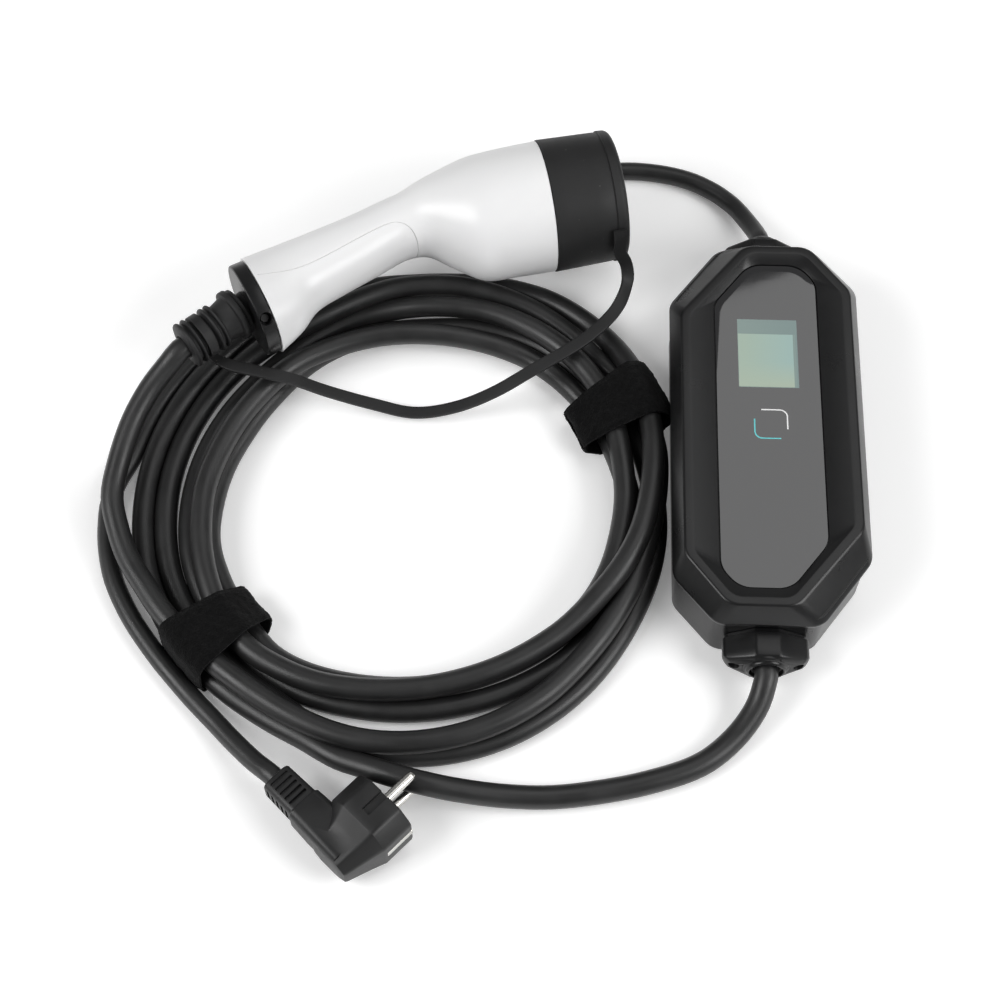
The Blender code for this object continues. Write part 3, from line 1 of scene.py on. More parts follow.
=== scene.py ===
# %% [markdown]
# # A portable charger for electric cars
#
# The object lies on a white table: a faceted control box with a glass front, a short mains lead
# with a right-angle plug, and a long charging cable, wound in a coil and held by two straps, with
# a white vehicle connector under a tethered rubber cap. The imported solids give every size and
# place. This file dresses them: most visible pieces are modelled again with finer edges, the
# others keep their solids, and all of them get a finish.

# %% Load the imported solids
from collections import namedtuple
from math import atan2, ceil, cos, hypot, pi, radians, sin, tan

import bmesh
import bpy
from mathutils import Matrix, Vector, noise


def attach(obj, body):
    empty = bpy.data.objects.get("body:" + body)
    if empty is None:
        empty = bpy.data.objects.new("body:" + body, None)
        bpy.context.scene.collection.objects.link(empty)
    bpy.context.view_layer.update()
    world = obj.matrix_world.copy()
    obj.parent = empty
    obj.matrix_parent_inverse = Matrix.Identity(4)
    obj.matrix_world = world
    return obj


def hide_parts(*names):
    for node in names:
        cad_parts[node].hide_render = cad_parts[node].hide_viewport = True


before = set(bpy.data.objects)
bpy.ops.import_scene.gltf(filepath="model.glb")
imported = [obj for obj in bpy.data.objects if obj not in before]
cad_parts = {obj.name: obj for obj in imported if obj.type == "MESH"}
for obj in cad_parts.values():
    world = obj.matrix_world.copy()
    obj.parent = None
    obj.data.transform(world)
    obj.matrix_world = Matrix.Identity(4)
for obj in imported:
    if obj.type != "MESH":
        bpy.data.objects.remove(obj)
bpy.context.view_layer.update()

# %% [markdown]
# ## Camera
#
# The photograph looks down at the table from in front, at about 62 degrees below the horizon,
# through a short telephoto lens. A camera with a 72 mm lens on a 36 mm sensor at about one metre
# gives the same perspective, so the far end of the box narrows by the same amount. The direction
# is written as a yaw and a pitch, because those are what a photographer would set on the tripod.

# %% Set the camera
camera_data = bpy.data.cameras.new("table_camera")
camera_data.lens = 72.0
camera_data.sensor_width = 36.0
camera_data.clip_start = 0.05
camera = bpy.data.objects.new("table_camera", camera_data)
camera.location = (-0.12697, -0.53426, 0.96344)
camera.rotation_euler = (radians(90.0 - 62.208), 0.0, radians(1.676))
bpy.context.scene.collection.objects.link(camera)
bpy.context.scene.camera = camera
print("camera at", [round(value, 3) for value in camera.location])

# %% [markdown]
# ## Shared settings
#
# A point on a smooth line is found with the same cubic rule everywhere: through given values at
# given places, with slopes taken from the neighbours. The cables, the tether and the grip of the
# connector all use it, so that they bend as evenly as rubber and moulded plastic do.

# %% Smooth lines
def hermite(knots, values, where):
    """A smooth value between given values at rising knots."""
    count = len(knots)
    slopes = []
    for i in range(count):
        a, b = max(0, i - 1), min(count - 1, i + 1)
        slopes.append((values[b] - values[a]) / (knots[b] - knots[a]))
    i = max(0, min(count - 2, sum(1 for knot in knots[1:-1] if knot <= where)))
    span = knots[i + 1] - knots[i]
    t = (where - knots[i]) / span
    return ((2 * t ** 3 - 3 * t ** 2 + 1) * values[i] + (t ** 3 - 2 * t ** 2 + t) * span * slopes[i]
            + (3 * t ** 2 - 2 * t ** 3) * values[i + 1] + (t ** 3 - t ** 2) * span * slopes[i + 1])


def smooth_route(points, spacing):
    """Evenly spaced points on a smooth curve through given points, and its length."""
    corners = [Vector(point) for point in points]
    knots = [0.0]
    for a, b in zip(corners, corners[1:]):
        knots.append(knots[-1] + (b - a).length)
    dense = []
    for i, (start, stop) in enumerate(zip(knots, knots[1:])):
        near = range(max(0, i - 2), min(len(knots), i + 4))
        steps = max(2, int(ceil((stop - start) / (spacing / 4))))
        for k in range(steps):
            where = start + (stop - start) * k / steps
            dense.append(Vector([hermite([knots[n] for n in near], [corners[n][axis] for n in near], where)
                                 for axis in range(3)]))
    dense.append(corners[-1])
    run = [0.0]
    for a, b in zip(dense, dense[1:]):
        run.append(run[-1] + (b - a).length)
    count = max(2, int(round(run[-1] / spacing)))
    route, index = [], 0
    for k in range(count + 1):
        target = run[-1] * k / count
        while index < len(run) - 2 and run[index + 1] < target:
            index += 1
        share = (target - run[index]) / max(1e-12, run[index + 1] - run[index])
        route.append(dense[index].lerp(dense[index + 1], min(1.0, share)))
    return route, run[-1]


def frame_to(position, axis, up=(0, 0, 1)):
    """A placement whose +Z runs along an axis."""
    z = Vector(axis).normalized()
    y = Vector(up) - z * z.dot(Vector(up))
    if y.length < 1e-4:
        y = Vector((0, 1, 0)) - z * z.y
    y.normalize()
    x = y.cross(z)
    placed = Matrix((x, y, z)).transposed().to_4x4()
    placed.translation = Vector(position)
    return placed


# %% Places of the connector and the plug
CLEARANCE = 0.0003
connector = Matrix.Translation((-0.1215, 0.1329, 0.0506)) @ Matrix.Rotation(radians(13.2), 4, "Z")
mouth_axis = connector @ frame_to((0, 0, 0), (1, 0, 0))
RELIEF_LENGTH = 0.0360
relief_direction = Vector((-cos(radians(27.4)), -sin(radians(27.4)), 0))
relief_place = connector @ frame_to((-0.1772, -0.0353, 0), relief_direction)
plug = Matrix.Translation((-0.1924, -0.2089, 0.0185)) @ Matrix.Rotation(radians(47.0), 4, "Z")
ARM_AXIS, ARM_END = 0.0292, 0.0490
lead_axis = plug @ frame_to((-ARM_AXIS, ARM_END, 0), (0, 1, 0))
END_CENTRE, GLAND = 0.00275, 0.0190
print("connector and plug placed")

# %% [markdown]
# ## Cables
#
# A real lead is one length of round rubber cable, so it is drawn as a line down its middle with a
# round section. The charging lead is the hard one. It leaves the box, joins the coil at the front,
# goes round five times and leaves over the other turns at the left, for the connector. In the
# photograph no turn keeps its place: each one climbs over or slips under its neighbours between
# the two straps. So the turns are written as a table of angle, radius and height about the coil's
# centre. Where a point has no height, the cable lies on the table there.

# %% Route of the charging lead
COIL_CENTRE = Vector((-0.1943, -0.0341, 0.0))
COIL_LYING = 6.7
COIL_STEP = 6.0
COIL_TURNS = (
    # angle, radius, height in millimetres; the angle falls as the cable runs clockwise
    (252.2, 143.6, 10.4), (246, 141.5, 9.0), (240, 140.3, 8.0), (231, 139.8, 6.9), (222, 140.0, 6.8),
    (212, 140.6), (200, 140.6), (190, 139.7), (180, 139.2), (160, 139.0), (145, 139.1), (132, 139.6),
    (118, 140.2), (104, 140.6), (90, 141.8), (80, 145.2), (70, 149.6), (60, 153.5), (50, 153.9, 7.4),
    (42, 151.6, 11.5), (34, 148.0, 17.6), (26, 144.0, 22.8), (18, 140.0, 25.8), (10, 136.4, 28.6),
    (0, 132.5, 30.0), (350, 129.8, 30.2), (340, 125.9, 28.2), (330, 121.0, 24.2), (320, 117.7, 20.0),
    (310, 114.8, 18.2), (300, 113.1, 17.6), (290, 112.2, 17.5), (280, 112.1, 17.5), (270, 112.6, 17.5),
    (260, 114.0, 17.5), (250, 116.1, 17.5), (240, 117.3, 17.5), (231, 118.2, 17.5), (222, 117.0, 17.8),
    (212, 113.6, 18.4), (200, 110.0, 18.8), (190, 107.3, 18.8), (180, 105.4, 18.8), (165, 102.0, 18.8),
    (145, 100.6, 18.8), (130, 101.6, 18.4), (120, 101.4, 17.6), (110, 101.4, 16.9), (90, 102.6, 16.4),
    (80, 104.8, 14.8), (70, 108.2, 12.2), (62, 111.6, 9.4), (53, 114.8, 7.4), (45, 116.3, 6.8),
    (36, 117.4), (26, 118.8), (16, 119.9), (5, 122.3), (355, 125.0), (345, 126.6), (335, 127.6),
    (325, 127.4), (315, 126.2), (305, 124.3), (295, 122.4), (285, 120.9), (270, 119.8), (260, 119.7),
    (250, 120.4), (240, 120.2), (231, 119.4), (222, 118.0), (208, 117.0), (198, 116.2), (190, 115.0),
    (180, 113.6), (165, 112.2), (150, 111.6), (138, 112.0), (128, 113.8, 6.8), (118, 116.8, 7.2),
    (109, 119.4, 8.8), (101, 120.4, 10.8), (95, 120.5, 13.5), (89, 120.6, 16.2), (82, 121.8, 17.6),
    (70, 125.0, 17.8), (60, 126.2, 17.8), (50, 126.9, 17.8), (40, 126.8, 17.8), (30, 125.2, 18.2),
    (22, 122.6, 18.6), (15, 120.8, 18.8), (8, 119.9, 18.7), (0, 119.6, 18.2), (350, 118.9, 16.8),
    (340, 118.8, 14.8), (330, 117.6, 12.0), (320, 114.8, 8.6), (310, 112.0, 6.9), (300, 109.8),
    (285, 107.9), (270, 107.4), (257, 108.2), (245, 110.0), (235, 110.6), (222, 107.0), (212, 106.2),
    (203, 105.6), (195, 105.4), (188, 103.9), (180, 102.0), (172, 100.6), (163, 99.2), (155, 98.4),
    (145, 99.0), (136, 100.4), (128, 102.8), (118, 105.9), (106, 108.8), (94, 110.4), (84, 112.8),
    (74, 117.2), (64, 121.8), (54, 125.6), (45, 127.4), (36, 128.6), (26, 131.4, 6.8), (18, 133.8, 7.0),
    (10, 135.0, 7.0), (2, 136.2, 6.8), (353, 137.6), (344, 138.3), (334, 138.7), (325, 139.9),
    (315, 141.9), (305, 143.6), (295, 144.8), (285, 145.0), (277, 144.4), (270, 143.0), (263, 140.6),
    (257, 137.9), (250, 134.2), (244, 130.8), (238, 129.0), (231, 128.4), (222, 128.4), (212, 128.9),
    (200, 128.6), (190, 127.7), (180, 127.1), (160, 126.6), (146, 126.8, 6.9), (137, 126.2, 8.6),
    (128, 124.0, 13.0), (119, 122.0, 17.2), (111, 123.6, 18.4), (103, 127.2, 18.5), (95, 131.4, 18.4),
    (86, 134.4, 18.3), (76, 137.6, 16.4), (66, 140.0, 12.8), (57, 140.9, 9.8), (48, 140.2, 8.4),
    (40, 140.0, 8.2), (30, 141.6, 10.0), (20, 141.4, 13.0), (12, 139.8, 16.4), (4, 137.0, 18.4),
    (356, 134.6, 18.9), (348, 133.2, 18.8), (340, 132.8, 18.5), (330, 133.0, 18.3), (322, 133.8, 18.1),
    (315, 134.9, 17.6), (305, 137.8, 17.9), (295, 139.8, 18.1), (285, 141.0, 18.2), (275, 141.6, 18.4),
    (265, 141.2, 18.6), (256, 139.4, 18.8), (248, 137.2, 19.0), (240, 135.6, 19.2), (231, 135.4, 19.4),
    (222, 137.2, 19.4), (214, 140.0, 19.3), (208, 142.2, 19.2), (203, 144.0, 19.1),
)
turn_angles, turned_by = [], 0.0
for before, after in zip(COIL_TURNS[:1] + COIL_TURNS, COIL_TURNS):
    turned_by += (before[0] - after[0]) % 360
    turn_angles.append(turned_by)
turn_radii = [point[1] for point in COIL_TURNS]
turn_heights = [point[2] if len(point) > 2 else COIL_LYING for point in COIL_TURNS]
coil_points = []
for k in range(int(turn_angles[-1] / COIL_STEP) + 1):
    where = k * COIL_STEP
    near = max(0, sum(1 for angle in turn_angles if angle <= where) - 3)
    part = slice(near, near + 6)
    radius = hermite(turn_angles[part], turn_radii[part], where) / 1000
    height = hermite(turn_angles[part], turn_heights[part], where) / 1000
    angle = radians(COIL_TURNS[0][0] - where)
    coil_points.append(COIL_CENTRE + Vector((radius * cos(angle), radius * sin(angle), height)))
print("coil turns", round(turn_angles[-1] / 360, 2))

# %% Draw a cable
EV_RADIUS, MAINS_RADIUS = 0.00615, 0.00530
ROUTE_SPACING = 0.0045
MAINS_LYING = 0.0056


def cable(name, route, radius):
    """A round cable: one open spline whose points carry the radius, its ends closed."""
    curve = bpy.data.curves.new(name, "CURVE")
    curve.dimensions = "3D"
    curve.bevel_depth = 1.0
    curve.bevel_resolution = 5
    curve.use_fill_caps = True
    spline = curve.splines.new("POLY")
    spline.points.add(len(route) - 1)
    for point, place in zip(spline.points, route):
        point.co = (*place, 1.0)
        point.radius = radius
    made = bpy.data.objects.new(name, curve)
    bpy.context.scene.collection.objects.link(made)
    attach(made, "root")
    return made


# %% Charging lead
box_part = [(-END_CENTRE, -0.1261, GLAND), (-END_CENTRE, -0.1321, GLAND), (-END_CENTRE, -0.1351, 0.0188),
            (-0.0074, -0.1490, 0.0125), (-0.0190, -0.1645, 0.00745), (-0.0362, -0.1785, 0.00645),
            (-0.0616, -0.1883, 0.00645),
            (-0.0867, -0.1943, 0.00645), (-0.1117, -0.1981, 0.0072), (-0.1368, -0.1990, 0.0102),
            (-0.1600, -0.1982, 0.0152), (-0.1740, -0.1966, 0.0182), (-0.1867, -0.1938, 0.0185),
            (-0.1970, -0.1906, 0.0176), (-0.2060, -0.1872, 0.0154), (-0.2190, -0.1822, 0.0128)]
grip_part = [(-0.3358, -0.0772, 0.0190), (-0.3425, -0.0620, 0.0205), (-0.3475, -0.0443, 0.0236),
             (-0.3463, -0.0282, 0.0272), (-0.3403, -0.0044, 0.0340), (-0.3316, 0.0135, 0.0403),
             (-0.3219, 0.0259, 0.0462)]
grip_part += [relief_place @ Vector((0, 0, RELIEF_LENGTH + beyond)) for beyond in (0.003, 0, -0.006)]
ev_route, ev_length = smooth_route(box_part + coil_points + grip_part, ROUTE_SPACING)
ev_cable = cable("charging_lead", ev_route, EV_RADIUS)
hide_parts("ev_lead_box", "ev_coil", "ev_lead_grip")
print("charging lead", round(ev_length, 3), "m,", len(ev_route), "points")

# %% Mains lead
mains_part = [(END_CENTRE, 0.1261, GLAND), (END_CENTRE, 0.1321, GLAND), (END_CENTRE, 0.1351, 0.0188),
              (0.0012, 0.1430, 0.0149), (-0.0036, 0.1554, 0.0100), (-0.0096, 0.1665, 0.0072),
              (-0.0154, 0.1733, 0.0060)]
mains_part += [(x, y, MAINS_LYING) for x, y in (
    (-0.0211, 0.1784), (-0.0328, 0.1853), (-0.0445, 0.1894), (-0.0564, 0.1917), (-0.0690, 0.1927),
    (-0.0820, 0.1920), (-0.0960, 0.1900), (-0.1185, 0.1847), (-0.1478, 0.1756), (-0.1768, 0.1649),
    (-0.2054, 0.1514), (-0.2336, 0.1348), (-0.2600, 0.1152), (-0.2815, 0.0945), (-0.3022, 0.0718),
    (-0.3172, 0.0516), (-0.3285, 0.0332), (-0.3363, 0.0155), (-0.3437, -0.0095), (-0.3501, -0.0252),
    (-0.3526, -0.0385), (-0.3525, -0.0480), (-0.3513, -0.0600), (-0.3488, -0.0719), (-0.3450, -0.0836),
    (-0.3392, -0.0953), (-0.3324, -0.1066), (-0.3243, -0.1177), (-0.3155, -0.1287), (-0.3058, -0.1396),
    (-0.2956, -0.1505))]
mains_part += [(-0.2845, -0.1616, 0.0066), (-0.2734, -0.1733, 0.0094), (-0.2611, -0.1855, 0.0139)]
mains_part += [lead_axis @ Vector((0, 0, beyond)) for beyond in (0.004, 0, -0.006)]
mains_route, mains_length = smooth_route(mains_part, ROUTE_SPACING)
mains_cable = cable("mains_cable", mains_route, MAINS_RADIUS)
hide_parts("mains_lead")
print("mains lead", round(mains_length, 3), "m,", len(mains_route), "points")

# %% [markdown]
# ## Modelling helpers
#
# Most pieces here are mouldings whose outline changes a little from one height to the next, like
# the box, the grip and the plug. By hand one would draw the first outline as a circle of points
# and extrude it again and again, moving the points each time. The first helper does that with the
# same operators. The second spins a drawn profile about an axis, for the cap, the strain relief,
# the pins and every bore. Before each one everything is deselected, since an operator acts on all
# that is selected.

# %% Deselect, extrude through rings
def clear():
    """Leave nothing selected, and be in object mode."""
    if bpy.context.object and bpy.context.object.mode != "OBJECT":
        bpy.ops.object.mode_set(mode="OBJECT")
    bpy.ops.object.select_all(action="DESELECT")


def through_rings(name, rings, band=False):
    """Extrude a ring of points through the others; a band joins the last ring to the first."""
    clear()
    bpy.ops.mesh.primitive_circle_add(vertices=len(rings[0]), radius=0.01,
                                      fill_type="NOTHING" if band else "NGON")
    piece = bpy.context.object
    piece.name = piece.data.name = name
    bpy.ops.object.mode_set(mode="EDIT")
    mesh = bmesh.from_edit_mesh(piece.data)
    place = mesh.verts.layers.int.new("place")
    for number, point in enumerate(mesh.verts):
        point[place] = number
        point.co = rings[0][number]
    bmesh.update_edit_mesh(piece.data)
    for ring in rings[1:]:
        if band:
            bpy.ops.mesh.extrude_edges_move()
        else:
            bpy.ops.mesh.extrude_region_move()
        mesh = bmesh.from_edit_mesh(piece.data)
        place = mesh.verts.layers.int["place"]
        for point in mesh.verts:
            if point.select:
                point.co = ring[point[place]]
        bmesh.update_edit_mesh(piece.data)
    if band:
        mesh = bmesh.from_edit_mesh(piece.data)
        for edge in mesh.edges:
            edge.select_set(edge.is_boundary)
        bmesh.update_edit_mesh(piece.data)
        bpy.ops.mesh.bridge_edge_loops()
    bpy.ops.mesh.select_all(action="SELECT")
    bpy.ops.mesh.normals_make_consistent(inside=False)
    bpy.ops.object.mode_set(mode="OBJECT")
    return piece


# %% Spin a profile
def spun(name, profile, place, steps=64):
    """Spin a profile of (radius, height) about its own axis, then set it in its place."""
    clear()
    bpy.ops.mesh.primitive_circle_add(vertices=len(profile), radius=0.01)
    piece = bpy.context.object
    piece.name = piece.data.name = name
    bpy.ops.object.mode_set(mode="EDIT")
    mesh = bmesh.from_edit_mesh(piece.data)
    for point, (radius, height) in zip(list(mesh.verts), profile):
        point.co = (max(radius, 0.0), 0, height)
    on_axis = [edge for edge in mesh.edges if all(v.co.x < 1e-7 for v in edge.verts)]
    bmesh.update_edit_mesh(piece.data)
    for edge in on_axis:
        mesh.edges.remove(edge)
    bmesh.update_edit_mesh(piece.data)
    bpy.ops.mesh.select_all(action="SELECT")
    bpy.ops.mesh.spin(steps=steps, angle=2 * pi, center=(0, 0, 0), axis=(0, 0, 1))
    bpy.ops.mesh.select_all(action="SELECT")
    bpy.ops.mesh.remove_doubles(threshold=1e-6)
    bpy.ops.mesh.normals_make_consistent(inside=False)
    bpy.ops.object.mode_set(mode="OBJECT")
    piece.data.transform(place)
    return piece


def rod(name, radius, bottom, top, place, steps):
    """A round bar, used to cut bores and to add posts."""
    return spun(name, [(0, bottom), (radius, bottom), (radius, top), (0, top)], place, steps)


# %% A block, and booleans
def block(name, size, centre, edge, place):
    """A cube primitive at its size and place, its edges bevelled in edit mode."""
    clear()
    bpy.ops.mesh.primitive_cube_add(size=1.0)
    piece = bpy.context.object
    piece.name = piece.data.name = name
    bpy.ops.object.mode_set(mode="EDIT")
    bpy.ops.transform.resize(value=size)
    bpy.ops.transform.translate(value=centre)
    if edge:
        bpy.ops.mesh.bevel(offset=edge, segments=3, affect="EDGES", clamp_overlap=True)
    bpy.ops.object.mode_set(mode="OBJECT")
    piece.data.transform(place)
    return piece


def combine(piece, operation, tools):
    """Apply a boolean with each tool, and delete the tool."""
    for tool in tools:
        clear()
        piece.select_set(True)
        bpy.context.view_layer.objects.active = piece
        step = piece.modifiers.new("Combine", "BOOLEAN")
        step.operation = operation
        step.solver = "EXACT"
        step.object = tool
        bpy.ops.object.modifier_apply(modifier=step.name)
        bpy.data.objects.remove(tool)


# %% Finish a piece
looks = {}


def finish(piece, slot, *nodes, angle=32, look=None):
    """Shade a piece, give it its finish, and let it stand for CAD nodes."""
    clear()
    piece.select_set(True)
    bpy.context.view_layer.objects.active = piece
    bpy.ops.object.shade_smooth_by_angle(angle=radians(angle))
    piece.data.materials.clear()
    piece.data.materials.append(looks[look or slot])
    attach(piece, "root")
    if nodes:
        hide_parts(*nodes)
    print(piece.name, len(piece.data.polygons), "faces")


# %% [markdown]
# ## Finishes
#
# Nearly everything is black, so the finishes have to differ in grain and gloss. The housing has a
# fine spark-eroded grain, the cap and plug are soft rubber that holds dust, the cable jacket is
# smoother with faint rubbed streaks, and the straps are dull pile. Four effects are shared as
# node groups: a moulded grain, broad mottling, dust specks and scuffs. Each group puts out one
# value that varies over the surface, and each material turns it into its own colour, roughness or
# bump.

# %% Node group helper
def new_group(name, inputs, outputs):
    """A shader group with named sockets; returns it with its two end nodes."""
    group = bpy.data.node_groups.new(name, "ShaderNodeTree")
    for label, kind, value in inputs:
        socket = group.interface.new_socket(name=label, in_out="INPUT", socket_type=kind)
        if value is not None:
            socket.default_value = value
    for label, kind in outputs:
        group.interface.new_socket(name=label, in_out="OUTPUT", socket_type=kind)
    return group, group.nodes.new("NodeGroupInput"), group.nodes.new("NodeGroupOutput")


# %% Helpers for nodes
def feed(tree, socket, value):
    """Give a socket a plain value, or link it to the output of another node."""
    if isinstance(value, bpy.types.NodeSocket):
        tree.links.new(value, socket)
    else:
        socket.default_value = value


def noise_value(group, vector, scale, detail, roughness):
    node = group.nodes.new("ShaderNodeTexNoise")
    for label, value in (("Vector", vector), ("Scale", scale), ("Detail", detail), ("Roughness", roughness)):
        feed(group, node.inputs[label], value)
    return node.outputs["Fac"]


def map_range(group, source, low, high, to_low=0.0, to_high=1.0):
    node = group.nodes.new("ShaderNodeMapRange")
    node.inputs["From Min"].default_value = low
    node.inputs["From Max"].default_value = high
    node.inputs["To Min"].default_value = to_low
    node.inputs["To Max"].default_value = to_high
    group.links.new(source, node.inputs["Value"])
    return node.outputs["Result"]


def math_node(group, operation, first, second):
    """One step of arithmetic on values or outputs."""
    node = group.nodes.new("ShaderNodeMath")
    node.operation = operation
    feed(group, node.inputs[0], first)
    feed(group, node.inputs[1], second)
    return node.outputs["Value"]


# %% Grain, mottling, dust and scuffs
FLOAT, VECTOR = "NodeSocketFloat", "NodeSocketVector"
grain_group, ins, outs = new_group("moulded_grain", [("Vector", VECTOR, None), ("Scale", FLOAT, 1500.0)],
                                   [("Height", FLOAT)])
fine = noise_value(grain_group, ins.outputs["Vector"], ins.outputs["Scale"], 3.0, 0.6)
grain_group.links.new(map_range(grain_group, fine, 0.3, 0.7), outs.inputs["Height"])

mottle_group, ins, outs = new_group("mottling", [("Vector", VECTOR, None), ("Scale", FLOAT, 40.0)],
                                    [("Value", FLOAT)])
broad = noise_value(mottle_group, ins.outputs["Vector"], ins.outputs["Scale"], 4.0, 0.55)
mottle_group.links.new(map_range(mottle_group, broad, 0.32, 0.68), outs.inputs["Value"])

dust_group, ins, outs = new_group("dust_specks", [("Vector", VECTOR, None), ("Scale", FLOAT, 700.0),
                                                  ("Amount", FLOAT, 0.1)], [("Mask", FLOAT)])
cells = dust_group.nodes.new("ShaderNodeTexVoronoi")
feed(dust_group, cells.inputs["Vector"], ins.outputs["Vector"])
feed(dust_group, cells.inputs["Scale"], ins.outputs["Scale"])
patches = noise_value(dust_group, ins.outputs["Vector"], 90.0, 2.0, 0.5)
near_speck = map_range(dust_group, cells.outputs["Distance"], 0.16, 0.04)
some = math_node(dust_group, "LESS_THAN", cells.outputs["Color"], ins.outputs["Amount"])
thick = map_range(dust_group, patches, 0.45, 0.62)
specks = math_node(dust_group, "MULTIPLY", near_speck, some)
dust_group.links.new(math_node(dust_group, "MULTIPLY", specks, thick), outs.inputs["Mask"])

scuff_group, ins, outs = new_group("scuffs", [("Vector", VECTOR, None), ("Scale", FLOAT, 60.0)],
                                   [("Mask", FLOAT)])
stretch = scuff_group.nodes.new("ShaderNodeMapping")
stretch.inputs["Scale"].default_value = (1.0, 6.0, 2.0)
stretch.inputs["Rotation"].default_value = (0.3, 0.2, 0.7)
feed(scuff_group, stretch.inputs["Vector"], ins.outputs["Vector"])
streaks = noise_value(scuff_group, stretch.outputs["Vector"], ins.outputs["Scale"], 5.0, 0.7)
scuff_group.links.new(map_range(scuff_group, streaks, 0.60, 0.72), outs.inputs["Mask"])
print("groups", [g.name for g in bpy.data.node_groups])


# %% Build a finish from the shared effects
def placed_group(tree, group, vector, **values):
    node = tree.nodes.new("ShaderNodeGroup")
    node.node_tree = group
    tree.links.new(vector, node.inputs["Vector"])
    for label, value in values.items():
        node.inputs[label].default_value = value
    return node.outputs[0]


def mix_colour(tree, factor, first, second):
    """A colour between two colours or outputs."""
    node = tree.nodes.new("ShaderNodeMix")
    node.data_type = "RGBA"
    tree.links.new(factor, node.inputs["Factor"])
    for socket, value in ((node.inputs["A"], first), (node.inputs["B"], second)):
        feed(tree, socket, (*value, 1.0) if isinstance(value, tuple) else value)
    return node.outputs["Result"]


SCUFF_ROUGHNESS = 0.12


def new_look(name, colours, roughness, grain=1500.0, bump=0.00002, mottle=40.0, dust=0.0, dust_scale=700.0,
             dust_colour=(0.30, 0.29, 0.27), scuffs=0.0, **sockets):
    """A material: colour and roughness vary with mottling, scuffs and dust lie on top, grain is bump."""
    made = bpy.data.materials.new(name)
    made.use_nodes = True
    tree = made.node_tree
    shader = tree.nodes["Principled BSDF"]
    where = tree.nodes.new("ShaderNodeTexCoord").outputs["Object"]
    broad_value = placed_group(tree, mottle_group, where, Scale=mottle)
    grain_value = placed_group(tree, grain_group, where, Scale=grain)
    colour = mix_colour(tree, broad_value, *colours)
    rough = map_range(tree, broad_value, 0.0, 1.0, *roughness)
    if scuffs:
        scuff_value = placed_group(tree, scuff_group, where, Scale=scuffs)
        rough = math_node(tree, "ADD", rough, math_node(tree, "MULTIPLY", scuff_value, SCUFF_ROUGHNESS))
    if dust:
        dust_value = placed_group(tree, dust_group, where, Scale=dust_scale, Amount=dust)
        colour = mix_colour(tree, dust_value, colour, dust_colour)
    tree.links.new(colour, shader.inputs["Base Color"])
    tree.links.new(rough, shader.inputs["Roughness"])
    bump_node = tree.nodes.new("ShaderNodeBump")
    bump_node.inputs["Strength"].default_value = 1.0
    bump_node.inputs["Distance"].default_value = bump
    tree.links.new(grain_value, bump_node.inputs["Height"])
    tree.links.new(bump_node.outputs["Normal"], shader.inputs["Normal"])
    for label, value in sockets.items():
        shader.inputs[label.replace("_", " ")].default_value = value
    looks[name] = made
    return tree, shader, where


# %% The plain finishes
new_look("black_housing", ((0.0060, 0.0061, 0.0064), (0.0080, 0.0080, 0.0084)), (0.27, 0.34), grain=2600.0,
         bump=0.000008, dust=0.05, dust_scale=520.0, Specular_IOR_Level=0.36)
new_look("white_shell", ((0.80, 0.80, 0.805), (0.825, 0.825, 0.825)), (0.30, 0.36), grain=1700.0,
         bump=0.000006, mottle=25.0, dust=0.02, dust_scale=420.0, dust_colour=(0.45, 0.44, 0.42))
new_look("black_rubber", ((0.0095, 0.0095, 0.0098), (0.0130, 0.0130, 0.0134)), (0.52, 0.64), grain=1900.0,
         bump=0.00002, dust=0.16, dust_scale=640.0, Specular_IOR_Level=0.38)
new_look("plug_rubber", ((0.0090, 0.0090, 0.0092), (0.0120, 0.0120, 0.0123)), (0.36, 0.48), grain=2100.0,
         bump=0.000016, dust=0.05, dust_scale=560.0, Specular_IOR_Level=0.40)
new_look("cable_jacket", ((0.0118, 0.0118, 0.0120), (0.0165, 0.0165, 0.0167)), (0.34, 0.46), grain=1300.0,
         bump=0.00003, mottle=55.0, dust=0.05, dust_scale=480.0, scuffs=45.0)
new_look("insulator", ((0.018, 0.018, 0.019), (0.024, 0.024, 0.025)), (0.42, 0.5), grain=1800.0)
new_look("seal_rubber", ((0.020, 0.020, 0.020), (0.026, 0.026, 0.026)), (0.66, 0.76))
new_look("nickel", ((0.66, 0.645, 0.61), (0.74, 0.73, 0.70)), (0.16, 0.26), grain=900.0, bump=0.000004,
         mottle=120.0, scuffs=120.0, Metallic=1.0)
new_look("zinc_steel", ((0.42, 0.42, 0.41), (0.54, 0.54, 0.53)), (0.28, 0.40), grain=1100.0, bump=0.000006,
         mottle=150.0, scuffs=150.0, Metallic=1.0)
new_look("circuit_board", ((0.020, 0.105, 0.048), (0.030, 0.135, 0.062)), (0.32, 0.42), grain=1400.0,
         mottle=300.0)
new_look("relay_case", ((0.025, 0.025, 0.029), (0.032, 0.032, 0.036)), (0.34, 0.42))
new_look("terminal_case", ((0.085, 0.25, 0.125), (0.11, 0.29, 0.15)), (0.40, 0.48))
new_look("ferrite", ((0.085, 0.078, 0.070), (0.11, 0.10, 0.09)), (0.55, 0.65), grain=1200.0)
new_look("winding_tape", ((0.52, 0.42, 0.09), (0.60, 0.50, 0.12)), (0.42, 0.52), grain=900.0)
new_look("key_white", ((0.78, 0.78, 0.78), (0.84, 0.84, 0.84)), (0.28, 0.34))
new_look("key_teal", ((0.10, 0.52, 0.54), (0.13, 0.58, 0.60)), (0.28, 0.34))
new_look("blackened_steel", ((0.010, 0.010, 0.010), (0.018, 0.018, 0.018)), (0.36, 0.46), grain=1100.0,
         Metallic=0.5)
